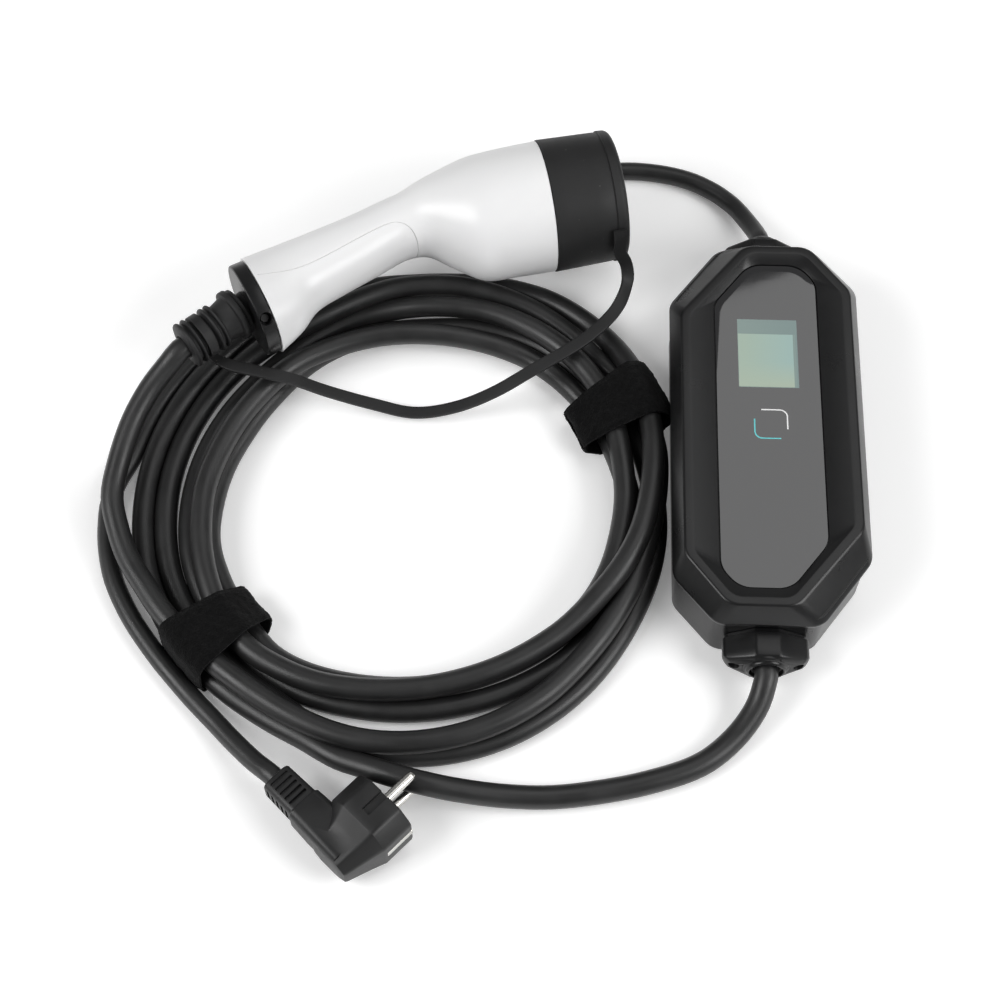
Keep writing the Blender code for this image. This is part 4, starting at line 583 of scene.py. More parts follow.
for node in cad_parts.values():
    label = node.data.materials[0].name.split(".")[0]
    if label in looks:
        node.data.materials[0] = looks[label]
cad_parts["collar_screw"].data.materials[0] = looks["blackened_steel"]
for piece in (ev_cable, mains_cable):
    piece.data.materials.append(looks["cable_jacket"])
print("finishes", len(looks))

# %% [markdown]
# ## Strap pile
#
# The straps are hook and loop tape: a felt of tiny loops that scatters light and has no gloss.
# A deep grain in the bump breaks up every reflection, a fine mottling leaves some loops nearly
# black, and a little sheen lightens the tape where it turns away from the eye.

# %% Hook and loop finish
new_look("hook_and_loop", ((0.0016, 0.0016, 0.0017), (0.0070, 0.0070, 0.0072)), (0.90, 1.0),
         bump=0.0004, mottle=900.0, dust=0.02, Sheen_Weight=0.06, Sheen_Roughness=0.45,
         Specular_IOR_Level=0.08)
print("pile finish", looks["hook_and_loop"].name)

# %% [markdown]
# ## Glass front
#
# The front is a sheet of smoked acrylic, printed black-grey behind except for a window over the
# display. Modelled as real glass over a printed sheet it would be hard to control, so the sheet
# is one glossy solid and the window is painted by where a point lies on it: the panel, its darker
# upper band and the thin strip at its right are ranges of X and Y.

# %% Glass and display finish
tree, shader, where = new_look(
    "tinted_glass", ((0.012, 0.012, 0.013), (0.014, 0.014, 0.015)), (0.030, 0.045), grain=60.0,
    bump=0.000002, mottle=12.0, dust=0.03, dust_scale=380.0, IOR=1.8)
split = tree.nodes.new("ShaderNodeSeparateXYZ")
tree.links.new(where, split.inputs["Vector"])
across, along = split.outputs["X"], split.outputs["Y"]


def between(value, low, high, soft=0.00012):
    """One inside a range, zero outside, with a soft edge."""
    return math_node(tree, "MULTIPLY", map_range(tree, value, low - soft, low + soft),
                     map_range(tree, value, high + soft, high - soft))


def pane(left, right, low, high):
    """One inside a rectangle of the glass, zero outside."""
    return math_node(tree, "MULTIPLY", between(across, left, right), between(along, low, high))


window = pane(-0.01565, 0.01645, 0.0200, 0.0628)
active = pane(-0.0155, 0.01415, 0.0203, 0.0535)
strip = pane(0.01415, 0.0154, 0.0203, 0.0535)
tint = map_range(tree, across, -0.012, 0.012)
panel = mix_colour(tree, tint, (0.255, 0.350, 0.275), (0.220, 0.350, 0.320))
lower = mix_colour(tree, map_range(tree, along, 0.036, 0.022), panel, (0.280, 0.360, 0.270))
band = mix_colour(tree, tint, (0.125, 0.195, 0.175), (0.100, 0.170, 0.160))
picture = mix_colour(tree, active, band, lower)
picture = mix_colour(tree, strip, picture, (0.120, 0.195, 0.175))
base_link = shader.inputs["Base Color"].links[0].from_socket
tree.links.new(mix_colour(tree, window, base_link, picture), shader.inputs["Base Color"])
print("glass finish", looks["tinted_glass"].name)

# %% [markdown]
# ## Control box
#
# The box is an eight-sided tub under an eight-sided cover. Two opposite corners of the octagon
# are cut further than the other two. The cover climbs from a thin skirt at the rim to a narrow
# crest, then falls to the sunken glass, and the cut corners grow on the way up, so every facet
# twists a little. One outline function gives the octagon with rounded corners, and one blend of
# two outlines gives every height in between.

# %% Outline of the box
Plan = namedtuple("Plan", "half_width half_length big small radius")
CORNER_STEPS = 9


def rounded(corners, radius, steps=CORNER_STEPS):
    """A closed outline with each corner replaced by an arc."""
    points = []
    for index, corner in enumerate(corners):
        here = Vector(corner)
        before = Vector(corners[index - 1]) - here
        after = Vector(corners[(index + 1) % len(corners)]) - here
        half_angle = before.angle(after) / 2
        reach = min(radius / tan(half_angle), before.length * 0.49, after.length * 0.49)
        true_radius = reach * tan(half_angle)
        bisector = (before.normalized() + after.normalized()).normalized()
        centre = here + bisector * (true_radius / sin(half_angle))
        start = here + before.normalized() * reach - centre
        end = here + after.normalized() * reach - centre
        sweep = start.angle(end)
        turn = 1 if start.x * end.y - start.y * end.x > 0 else -1
        first = atan2(start.y, start.x)
        for k in range(steps + 1):
            angle = first + turn * sweep * k / steps
            points.append((centre.x + true_radius * cos(angle), centre.y + true_radius * sin(angle)))
    return points


def octagon(plan):
    """The box's outline: two opposite corners cut further than the other two."""
    w, l = plan.half_width, plan.half_length
    (bx, by), (sx, sy) = plan.big, plan.small
    return rounded([(w - bx, -l), (w, -l + by), (w, l - sy), (w - sx, l),
                    (-w + bx, l), (-w, l - by), (-w, -l + sy), (-w + sx, -l)], plan.radius)


# %% Inset and blend of outlines
def inset(plan, distance):
    """The same octagon with every side moved in by a distance."""
    def shrink(chamfer):
        x, y = chamfer
        excess = x + y - hypot(x, y)
        return (x - distance * excess / y, y - distance * excess / x)
    return Plan(plan.half_width - distance, plan.half_length - distance,
                shrink(plan.big), shrink(plan.small), max(0.001, plan.radius - distance / 2))


def blend(low, high, share):
    """An outline between two others."""
    def mix(a, b):
        return a + (b - a) * share
    return Plan(mix(low.half_width, high.half_width), mix(low.half_length, high.half_length),
                tuple(mix(a, b) for a, b in zip(low.big, high.big)),
                tuple(mix(a, b) for a, b in zip(low.small, high.small)), mix(low.radius, high.radius))


def rounded_steps(steps, reach, count=4):
    """Replace each marked (height, plan) step by a short curve into its neighbours."""
    out = []
    for index, step in enumerate(steps):
        if len(step) == 2:
            out.append(step)
            continue
        height, plan, near = step
        before, after = steps[index - 1], steps[index + 1]

        def towards(other, distance):
            span = hypot(other[0] - height, other[1].half_width - plan.half_width) + 1e-9
            share = min(0.45, distance / span)
            return (height + (other[0] - height) * share, blend(plan, other[1], share))
        a, b = towards(before, near * reach), towards(after, near * reach)
        for k in range(count + 1):
            t = k / count
            p = (a[0] + (height - a[0]) * t, blend(a[1], plan, t))
            q = (height + (b[0] - height) * t, blend(plan, b[1], t))
            out.append((p[0] + (q[0] - p[0]) * t, blend(p[1], q[1], t)))
    return out


def stacked(name, steps):
    """A form whose octagon changes with height."""
    return through_rings(name, [[(x, y, height) for x, y in octagon(plan)] for height, plan in steps])


# %% Outlines and heights of the box
rim = Plan(0.0517, 0.1148, (0.0275, 0.0374), (0.0220, 0.0264), 0.012)
crest = Plan(0.0463, 0.1094, (0.0363, 0.0451), (0.0220, 0.0286), 0.012)
glass = Plan(0.0278, 0.0983, (0.0198, 0.0260), (0.0090, 0.0110), 0.014)
base = inset(rim, 0.0025)
recess = inset(glass, -0.0004)
GLASS_TOP, RECESS_FLOOR, LIP, CREST, RIM = 0.0481, 0.0466, 0.0485, 0.0511, 0.0383
LEDGE, ROOF, SKIRT, BASE_TOP = 0.0413, 0.0442, 0.0357, 0.0397


def slope_plan(height):
    """The outline of the cover's slope at a height between rim and crest."""
    return blend(rim, crest, (height - RIM) / (CREST - RIM))


print("outline points", len(octagon(rim)))

# %% Cover
inner_roof = inset(slope_plan(ROOF), 0.0025)
near_base = inset(base, -CLEARANCE)
cover = stacked("box_cover", rounded_steps([
    (ROOF, inner_roof), (LEDGE, inner_roof), (LEDGE, near_base), (SKIRT, near_base),
    (SKIRT, inset(rim, 0.0005), 0.3), (RIM, rim, 0.8), (CREST, crest, 1.0),
    (CREST, inset(crest, 0.0046), 0.8), (LIP, recess, 0.3), (RECESS_FLOOR, recess)], 0.0011))
finish(cover, "black_housing", "front_cover", angle=24)

# %% Glass front
sheet = stacked("glass_front", rounded_steps([
    (RECESS_FLOOR + 0.0003, glass), (GLASS_TOP, glass, 1.0), (GLASS_TOP, inset(glass, 0.004)),
    (GLASS_TOP + 0.00002, inset(glass, 0.008))], 0.0004, 3))
finish(sheet, "tinted_glass", "front_glass", angle=30)

# %% Touch key: two thin strokes round a square
def stroke(name, turn):
    """A flat strip on the glass along two sides of a square, with a rounded corner between them."""
    middle = Vector((0.0007, -0.0025, 0))
    reach, width, corner = 0.0087, 0.0007, 0.0040
    run = [(-0.0050 + 0.0010 * k, reach) for k in range(10)]
    run += [(reach - corner + corner * sin(pi / 2 * k / 12), reach - corner + corner * cos(pi / 2 * k / 12))
            for k in range(13)]
    run += [(reach, 0.0040 - 0.0010 * k) for k in range(8)]
    rings = []
    for k, (x, y) in enumerate(run):
        a, b = Vector(run[max(0, k - 1)]), Vector(run[min(len(run) - 1, k + 1)])
        side = (b - a).orthogonal().normalized() * width / 2
        ring = []
        for hand, z in ((-1, -0.0001), (1, -0.0001), (1, 0.00005), (-1, 0.00005)):
            spot = Matrix.Rotation(turn, 3, "Z") @ Vector((x + side.x * hand, y + side.y * hand, 0))
            ring.append(middle + spot + Vector((0, 0, GLASS_TOP + z)))
        rings.append(ring)
    return through_rings(name, rings)


finish(stroke("key_stroke_white", 0.0), "tinted_glass", look="key_white")
finish(stroke("key_stroke_teal", pi), "tinted_glass", look="key_teal")

# %% Base tub
TUB_WALL, WALL_Y = 0.0030, base.half_length
SCREW_X, SCREW_Y = 0.0385, 0.0760
BORE_ROOM = 0.0008
tub = stacked("box_base", rounded_steps([
    (TUB_WALL, inset(base, TUB_WALL)), (BASE_TOP, inset(base, TUB_WALL)), (BASE_TOP, base),
    (0.0, base, 1.0), (0.0, inset(base, 0.006))], 0.0022, 5))
screw_places = [Matrix.Translation((sx * SCREW_X, sy * SCREW_Y, 0)) for sx in (-1, 1) for sy in (-1, 0, 1)]
combine(tub, "UNION", [rod("boss", 0.0053, 0.0015, 0.0280, place, 24) for place in screw_places])
combine(tub, "DIFFERENCE", [spun("bore", [
    (0, -0.001), (0.0042, -0.001), (0.0037, 0.0005), (0.0037, 0.020), (0.0018, 0.020), (0.0018, 0.029),
    (0, 0.029)], place, 24) for place in screw_places])


def outward_axis(turn):
    """Where a lead leaves the box: the middle of the end wall, turned to its own end."""
    return Matrix.Rotation(turn, 4, "Z") @ frame_to((END_CENTRE, WALL_Y, GLAND), (0, 1, 0))


for turn, radius in ((0, MAINS_RADIUS), (pi, EV_RADIUS)):
    combine(tub, "DIFFERENCE", [rod("wall_hole", radius + BORE_ROOM, -0.004, 0.001, outward_axis(turn), 24)])
finish(tub, "black_housing", "base_shell", angle=24)

# %% [markdown]
# ## Cable clamps
#
# Where a lead leaves the box it passes a moulded clamp: flat on top, with slopes down to narrow
# sides, and a front that is rounded back at both sides and cut in a soft wave over the round
# collar. Two screws sink into it. The front is made by moving the last rings' points along the
# lead by how far out they lie, and the collar and the screw holes are added with booleans.

# %% Sections of a clamp
CLAMP_HALF, CLAMP_HALF_HEIGHT, CLAMP_FRONT = 0.0224, 0.0125, 0.0182


def clamp_outline(shrink):
    """The clamp's eight-sided section, seen along the lead."""
    w, h, s, t = CLAMP_HALF - shrink, CLAMP_HALF_HEIGHT - shrink, 0.0030 - shrink * 0.4, 0.0062
    return rounded([(w, -s), (w, s), (t, h), (-t, h), (-w, s), (-w, -s), (-t, -h), (t, -h)], 0.0045, 6)


def bow(x):
    """How far the front lies behind its middle: little in the middle, more towards the sides."""
    share = min(1.0, abs(x) / CLAMP_HALF)
    return 0.0052 * share ** 5


def clamp_ring(distance, shrink, front=0.0, wave=0.0):
    """A section of the clamp; its front follows the bow, and its top edge a wave."""
    ring = []
    for x, z in clamp_outline(shrink):
        lift = max(0.0, z) / CLAMP_HALF_HEIGHT
        dip = 0.5 - 0.5 * cos(pi * min(1.0, max(0.0, (abs(x) - 0.0060) / 0.0080)))
        back = front * (bow(x) + wave * lift * (1.0 - 0.75 * dip))
        ring.append((END_CENTRE + x, WALL_Y + distance - back, GLAND + z))
    return ring


# %% Both clamps
def clamp(side, turn, cable_radius):
    """A clamp and its cable seal, modelled at the mains end and turned to its own end."""
    place = Matrix.Rotation(turn, 4, "Z")
    outward = outward_axis(turn)
    made = through_rings(f"{side}_clamp_body", [clamp_ring(*section) for section in (
        (CLEARANCE, 0.0013), (0.0022, 0.0013), (0.0024, 0.0003), (0.0027, 0.0), (0.0070, 0.0), (0.0110, 0.0),
        (CLAMP_FRONT - 0.0018, 0.0, 0.9, 0.0012), (CLAMP_FRONT - 0.0008, 0.0003, 1.0, 0.0014),
        (CLAMP_FRONT - 0.0002, 0.0011, 1.0, 0.0014), (CLAMP_FRONT, 0.0024, 1.0, 0.0008),
        (CLAMP_FRONT, 0.0045, 1.0, 0.0))])
    made.data.transform(place)
    mouth, inner = 0.0198, 0.0086
    combine(made, "UNION", [spun("clamp_collar", [
        (0, 0.0086), (0.0121, 0.0086), (0.0121, 0.0172), (0.0116, 0.0179), (0.0106, 0.0182), (0.0103, 0.0186),
        (0.0102, 0.0192), (0.0096, mouth), (0, mouth)], outward, 56)])
    combine(made, "DIFFERENCE", [spun("clamp_bore", [
        (0, -0.001), (cable_radius + BORE_ROOM, -0.001), (cable_radius + BORE_ROOM, 0.003), (inner, 0.003),
        (inner, 0.0190), (0.0092, 0.0205), (0, 0.0205)], outward, 40)])
    holes = []
    for hand in (-1, 1):
        hole_mouth = place @ Vector((END_CENTRE + hand * 0.0168, WALL_Y + CLAMP_FRONT, GLAND))
        inward = place.to_3x3() @ Vector((-hand * 0.10, -cos(radians(8.0)), sin(radians(8.0))))
        holes.append(spun("clamp_hole", [
            (0, -0.006), (0.0031, -0.006), (0.0027, 0.006), (0.0016, 0.006), (0.0016, 0.0138), (0, 0.0138)],
            frame_to(hole_mouth, inward, (1, 0, 0)), 28))
    combine(made, "DIFFERENCE", holes)
    finish(made, "black_housing", f"{side}_clamp", angle=28)
    finish(spun(f"{side}_cable_seal", [
        (0.0083, 0.0033), (0.0083, 0.0176), (0.0078, 0.0182), (cable_radius + 0.0010, 0.0182),
        (cable_radius + 0.0004, 0.0176), (cable_radius + 0.0004, 0.0033)], outward, 40),
        "seal_rubber", f"{side}_seal")


clamp("mains", 0.0, MAINS_RADIUS)
clamp("outlet", pi, EV_RADIUS)

# %% [markdown]
# ## Vehicle connector
#
# The grip is the hardest form here: a round head that narrows into an oval handle, leans, then
# flares to meet the collar. It is made the way a boat's hull is drawn, from a table of sections
# along its length, each with its centre, its half width and thickness, and its lean. The sections
# between come from smooth curves. The solid is hollowed and cut into an upper and a lower shell
# along the parting line, with a fine gap between them.

# %% Sections of the grip
STATIONS = (
    # place along the connector, sideways centre, half width, half thickness, lean in degrees
    (0.0000, 0.0000, 0.0366, 0.0366, 0.0), (-0.0224, -0.0004, 0.0355, 0.0355, 0.0),
    (-0.0402, -0.0009, 0.0340, 0.0335, 1.0), (-0.0573, 0.0016, 0.0256, 0.0280, 5.0),
    (-0.0686, 0.0035, 0.0192, 0.0235, 10.0), (-0.0761, 0.0025, 0.0168, 0.0205, 14.0),
    (-0.0858, 0.0004, 0.0163, 0.0190, 17.0), (-0.1049, -0.0068, 0.0175, 0.0185, 18.5),
    (-0.1251, -0.0138, 0.0190, 0.0185, 19.5), (-0.1415, -0.0199, 0.0208, 0.0190, 20.0),
    (-0.1526, -0.0270, 0.0250, 0.0207, 19.0), (-0.1647, -0.0337, 0.0274, 0.0243, 16.0))
station_runs = [-station[0] for station in STATIONS]
GRIP_END = station_runs[-1]
GRIP_SIDES = 72


# %% Grip from its sections
def grip_ring(run, wall, back=0.0):
    """One section of the grip, moved in by a wall's thickness and back along its own axis."""
    v, a, b, lean = [hermite(station_runs, [station[k] for station in STATIONS], run) for k in range(1, 5)]
    lean = radians(lean)
    power = 2.0 + 0.3 * min(1.0, run / 0.080)
    ring = []
    for k in range(GRIP_SIDES):
        angle = 2 * pi * k / GRIP_SIDES
        u = abs(cos(angle)) ** (2 / power) * (1 if cos(angle) > 0 else -1) * (a - wall)
        w = abs(sin(angle)) ** (2 / power) * (1 if sin(angle) > 0 else -1) * (b - wall)
        ring.append(connector @ Vector((-run - sin(lean) * u - back * cos(lean),
                                        v + cos(lean) * u - back * sin(lean), w)))
    return ring


def grip_body(name, wall, first, last, count, lip=0.0, forward=0.0):
    """The grip between two places, its mouth's edge rounded by a lip or carried forward."""
    rings = []
    if lip:
        rings = [grip_ring(0, lip), grip_ring(lip * 0.12, lip * 0.45), grip_ring(lip * 0.45, lip * 0.12)]
    if forward:
        rings = [grip_ring(0, wall, -forward)]
    rings += [grip_ring(first + (last - first) * k / (count - 1), wall) for k in range(count)]
    return through_rings(name, rings)


def neck_bore():
    """The bore for the strain relief's neck, through the collar and into the shells."""
    return rod("neck_bore", 0.0093, -0.026, 0.012, relief_place, 40)


print("grip sections", len(STATIONS), "of", GRIP_SIDES, "points")

# %% Parting line and crease
SEAM = ((-0.1790, -0.0135), (-0.1620, -0.0129), (-0.1380, -0.0044), (-0.1110, 0.0019), (-0.0810, 0.0079),
        (-0.0745, 0.0044), (-0.0685, 0.0002), (-0.0580, -0.0083), (-0.0365, -0.0140), (0.0100, -0.0139))
CREASE = ((-0.1640, -0.0298), (-0.1407, -0.0262), (-0.0981, -0.0099), (-0.0859, -0.0066), (-0.0781, -0.0094),
          (-0.0719, -0.0180), (-0.0693, -0.0231), (-0.0696, -0.0252), (-0.0714, -0.0260))
WALL_REACH = 0.060


def wall_along(name, line, half, close=None):
    """An upright wall on a line, or the whole side beyond it, in the connector's own axes."""
    if close is None:
        left, right = [], []
        for k, point in enumerate(line):
            a, b = Vector(line[max(0, k - 1)]), Vector(line[min(len(line) - 1, k + 1)])
            side = (b - a).orthogonal().normalized() * half
            left.append(Vector(point) + side)
            right.append(Vector(point) - side)
        outline = left + right[::-1]
    else:
        side = 1 if close > 0 else -1
        shifted = [(x, y + side * half) for x, y in line]
        outline = shifted + [(shifted[-1][0], close), (shifted[0][0], close)]
    return through_rings(name, [[connector @ Vector((p[0], p[1], z)) for p in outline]
                                for z in (-WALL_REACH, WALL_REACH)])


def smooth_line(line, spacing):
    """A flat line through given points, rounded and evenly spaced."""
    route, _ = smooth_route([(x, y, 0) for x, y in line], spacing)
    return [(p.x, p.y) for p in route]


seam_line = smooth_line(SEAM, 0.0030)
crease_line = smooth_line(CREASE, 0.0025)
print("parting line points", len(seam_line))

# %% Upper and lower shell
for name, side in (("upper_shell", 1), ("lower_shell", -1)):
    shell = grip_body(f"grip_{name}", 0.0, 0.0009, GRIP_END, 64, lip=0.0009)
    hollow = grip_body("hollow", 0.0024, 0.002, GRIP_END - 0.0024, 44, forward=0.004)
    other = wall_along("other_side", seam_line, side * -0.00010, close=-0.080 * side)
    combine(shell, "DIFFERENCE", [hollow, other, neck_bore()])
    if side < 0:
        groove = wall_along("groove", crease_line, 0.00022)
        keep = grip_body("keep", 0.00045, 0.0, GRIP_END, 50)
        combine(groove, "DIFFERENCE", [keep])
        combine(shell, "DIFFERENCE", [groove])
    finish(shell, "white_shell", name, angle=30)

# %% [markdown]
# ## Collar, strain relief and cap
#
# The collar is a black ring of the grip's own section, with softened edges and a slanted screw
# hole. The strain relief is a spun rubber profile: a flange, a tapered core and round ribs that
# let the lead bend. The cap is a spun cup with a fine groove and a slightly raised lip near its
# closed end, and a shallow dish in the middle of that end.

# %% Collar
collar_rings = [grip_ring(GRIP_END, 0.0020, 0.0003), grip_ring(GRIP_END, 0.0013, 0.0005),
                grip_ring(GRIP_END, 0.0012, 0.0009), grip_ring(GRIP_END, 0.0012, 0.0070),
                grip_ring(GRIP_END, 0.0014, 0.0076), grip_ring(GRIP_END, 0.0021, 0.0080)]
collar = through_rings("grip_collar", collar_rings)
combine(collar, "DIFFERENCE", [neck_bore()])
_, collar_v, collar_a, collar_b, collar_lean = STATIONS[-1]
collar_lean = radians(collar_lean)
hole_turn = radians(137.0)
sideways = Vector((-sin(collar_lean), cos(collar_lean), 0))
half_a, half_b = collar_a - 0.0012, collar_b - 0.0012
hole_out = (sideways * (cos(hole_turn) / half_a) + Vector((0, 0, sin(hole_turn) / half_b))).normalized()
middle = Vector((-GRIP_END, collar_v, 0)) - Vector((cos(collar_lean), sin(collar_lean), 0)) * 0.00415
hole_top = middle + sideways * (half_a * cos(hole_turn)) + Vector((0, 0, half_b * sin(hole_turn)))
hole_place = connector @ frame_to(hole_top, -hole_out, (1, 0, 0))
combine(collar, "DIFFERENCE", [spun("collar_hole", [
    (0, -0.004), (0.0038, -0.004), (0.0036, 0.0), (0.0032, 0.0005), (0.0032, 0.0060), (0, 0.0060)],
    hole_place, 32)])
finish(collar, "black_housing", "rear_collar", angle=28)

# %% Strain relief
def rounded_rib(where, core, top, half, steps=5):
    """Profile points of a round rib standing on a core."""
    points = [(core, where - half - 0.0004)]
    for k in range(steps + 1):
        angle = pi * k / steps
        points.append((core + (top - core) * (0.45 + 0.55 * sin(angle)), where - half * cos(angle)))
    return points + [(core, where + half + 0.0004)]


core, disc = 0.0108, 0.0131
relief_profile = [(0.0090, -0.0140), (0.0090, -0.0008), (0.0132, -0.0008), (0.0134, -0.0006),
                  (0.0134, 0.0012), (0.0142, 0.0016), (0.0146, 0.0022), (0.0146, 0.0046), (0.0143, 0.0052),
                  (0.0136, 0.0054), (0.0124, 0.0058), (0.0119, 0.0070), (core, 0.0122)]
relief_profile += rounded_rib(0.0148, core, disc - 0.0002, 0.0010)
relief_profile += rounded_rib(0.0184, core, disc - 0.0001, 0.0011)
relief_profile += [(core - 0.0008, 0.0208), (core - 0.0008, 0.0278)]
relief_profile += rounded_rib(0.0297, core - 0.0002, disc, 0.0010)
relief_profile += rounded_rib(0.0338, core - 0.0002, disc + 0.0001, 0.0013)
relief_profile += [(0.0088, RELIEF_LENGTH), (0.0070, RELIEF_LENGTH), (0.00655, RELIEF_LENGTH - 0.0005),
                   (0.00655, -0.0140)]
relief = spun("lead_strain_relief", relief_profile, relief_place, 56)
finish(relief, "black_rubber", "strain_relief", angle=40)

# %% Dust cap
CAP_LENGTH, CAP_INNER = 0.0409, 0.0337
CAP_OPEN, CAP_CLOSED = 0.0370, 0.0358


def cap_radius(distance):
    """The cap's outside, which narrows a little towards its closed end."""
    return CAP_OPEN + (CAP_CLOSED - CAP_OPEN) * distance / CAP_LENGTH


cap_profile = [(CAP_INNER, 0.0003), (0.0366, 0.0003), (cap_radius(0) - 0.0001, 0.0005),
               (cap_radius(0.001), 0.0009)]
cap_profile += [(cap_radius(d), d) for d in (0.008, 0.016, 0.024, 0.0325)]
cap_profile += [(cap_radius(0.0334) - 0.0003, 0.0335), (cap_radius(0.0340) - 0.0003, 0.0339),
                (cap_radius(0.0345) + 0.0006, 0.0344)]
for k in range(9):
    angle = pi / 2 * k / 8
    cap_profile.append((0.0364 - 0.0034 * (1 - cos(angle)), CAP_LENGTH - 0.0034 * (1 - sin(angle))))
cap_profile += [(0.024, CAP_LENGTH), (0.0225, CAP_LENGTH - 0.0006), (0, CAP_LENGTH - 0.0006),
                (0, CAP_LENGTH - 0.003), (CAP_INNER, CAP_LENGTH - 0.003)]
cap = spun("rubber_cap", cap_profile, mouth_axis, 96)
finish(cap, "black_rubber", "dust_cap", angle=38)

# %% [markdown]
# ## Tether of the cap
#
# A flat rubber strap ties the cap to the strain relief. It starts on the cap's side, drops over
# the coil, and ends in a ring round the relief. Its section is a rectangle with round edges,
# swept along the route by extruding it from point to point.

# %% Route of the tether
TETHER_WIDE, TETHER_NARROW, TETHER_THICK = 0.0070, 0.0040, 0.0020
TETHER_SPACING, TETHER_TAPER = 0.0028, 0.016


def tether_points():
    """The middle of the tether: four points on the cap's side, then its way to the ring."""
    out = CAP_OPEN + CLEARANCE + TETHER_THICK / 2
    on_cap = [connector @ Vector((0.0343, out * cos(radians(turn)), out * sin(radians(turn))))
              for turn in (156, 164, 172, 180)]
    return on_cap + [
        (-0.0752, 0.1022, 0.0400), (-0.0742, 0.0965, 0.0325), (-0.0787, 0.0822, 0.0305),
        (-0.0876, 0.0693, 0.0300), (-0.1016, 0.0557, 0.0300), (-0.1258, 0.0392, 0.0285),
        (-0.1465, 0.0297, 0.0200), (-0.1677, 0.0248, 0.0110), (-0.1906, 0.0234, 0.0060),
        (-0.2139, 0.0266, 0.0090), (-0.2381, 0.0285, 0.0180), (-0.2585, 0.0291, 0.0300),
        (-0.2772, 0.0308, 0.0345), (-0.2900, 0.0328, 0.0362), (-0.2985, 0.0365, 0.0372),
        (-0.3030, 0.0402, 0.0390)]


# %% Sweep the tether
def tether_body():
    """The strap without its ring; it turns from upright on the cap to flat, and narrows at the end."""
    route, length = smooth_route(tether_points(), TETHER_SPACING)
    radial = connector.to_3x3() @ Vector((0, -1, 0))
    section = rounded([(0.5, -0.5), (0.5, 0.5), (-0.5, 0.5), (-0.5, -0.5)], 0.16, 3)
    rings = []
    for k in range(len(route)):
        ahead = (route[min(len(route) - 1, k + 1)] - route[max(0, k - 1)]).normalized()
        share = k / (len(route) - 1)
        up = radial.lerp(Vector((0, 0, 1)), min(1.0, max(0.0, (share - 0.10) / 0.12)))
        across = ahead.cross(up).normalized()
        thick = across.cross(ahead).normalized()
        to_ring = (len(route) - 1 - k) * TETHER_SPACING
        wide = TETHER_WIDE - (TETHER_WIDE - TETHER_NARROW) * max(0.0, 1 - to_ring / TETHER_TAPER)
        rings.append([route[k] + across * (x * wide) + thick * (y * TETHER_THICK) for x, y in section])
    print("tether", round(length * 1000), "mm")
    return through_rings("cap_tether", rings)


tether = tether_body()
ring = spun("tether_ring", [
    (0.0125, 0.0220), (0.0125, 0.0268), (0.0123, 0.0270), (0.0105, 0.0270), (0.0103, 0.0268),
    (0.0103, 0.0222), (0.0105, 0.0220), (0.0123, 0.0218)], relief_place, 48)
combine(tether, "UNION", [ring])
finish(tether, "black_rubber", "cap_strap", angle=35)

# %% [markdown]
# ## Mains plug
#
# The plug is a right-angle moulding lying on its side. Its eight-sided body tapers behind the
# face, and the arm to the lead stands square to the pins, with five slots across each of its sides
# that make it flexible. The forms are joined with booleans. Their edges are rounded by the arcs in
# each section and by close rings near both ends, as the mould does on the real plug.

# %% Sections of the plug
PLUG_RADIUS = 0.0185
PLUG_CORNER = 0.42


def plug_ring(depth, half_c, half_z, drop=0.0):
    """An eight-sided section across the pins, at a depth behind the face."""
    c, z, k = half_c, half_z, 1 - PLUG_CORNER
    return [plug @ Vector((-depth, y, w + drop)) for y, w in rounded([
        (c, -z * k), (c, z * k), (c * k, z), (-c * k, z), (-c, z * k), (-c, -z * k), (-c * k, -z),
        (c * k, -z)], min(c, z) * 0.22, 4)]


def arm_ring(reach, half_w, half_h):
    """A rounded section across the arm, at a reach from the middle of the pins."""
    return [plug @ Vector((-ARM_AXIS + x, reach, z)) for x, z in rounded([
        (half_w, -half_h), (half_w, half_h), (-half_w, half_h), (-half_w, -half_h)],
        min(half_w, half_h) * 0.42, 6)]


# %% Join the plug's body and arm
front_rings = [plug_ring(depth, PLUG_RADIUS - less, PLUG_RADIUS - less) for depth, less in (
    (0.0, 0.0012), (0.0003, 0.0004), (0.0012, 0.0), (0.0186, 0.0), (0.0192, 0.0003))]
back_rings = [plug_ring(0.0250, PLUG_RADIUS * 0.86, PLUG_RADIUS * 0.82, drop=-0.0020)]
back_rings += [plug_ring(depth, half_c, half_z, drop=-0.0030) for depth, half_c, half_z in (
    (0.0385, 0.0120, 0.0100), (0.0396, 0.0114, 0.0094), (0.0400, 0.0100, 0.0080))]
moulding = through_rings("plug_moulding", front_rings + back_rings)
combine(moulding, "UNION", [through_rings("plug_arm", [arm_ring(*section) for section in (
    (-0.004, 0.0104, 0.0090), (PLUG_RADIUS * 0.84, 0.0104, 0.0111), (0.0280, 0.0098, 0.0101),
    (0.0285, 0.0094, 0.0098), (0.0290, 0.0087, 0.0093), (0.0478, 0.0083, 0.0082), (0.0486, 0.0080, 0.0079),
    (0.0490, 0.0073, 0.0072))])])
slots = []
for number in range(5):
    reach = 0.0320 + number * 0.0034
    for side in (-1, 1):
        slots.append(block("slot", (0.0110, 0.0018, 0.010), (-ARM_AXIS, reach, side * 0.0118), 0.0007, plug))
    for side in (-1, 1):
        slots.append(block("slot", (0.010, 0.0018, 0.0110), (-ARM_AXIS + side * 0.0118, reach, 0), 0.0007,
                           plug))
combine(moulding, "DIFFERENCE", slots)
print("plug slots", len(slots))

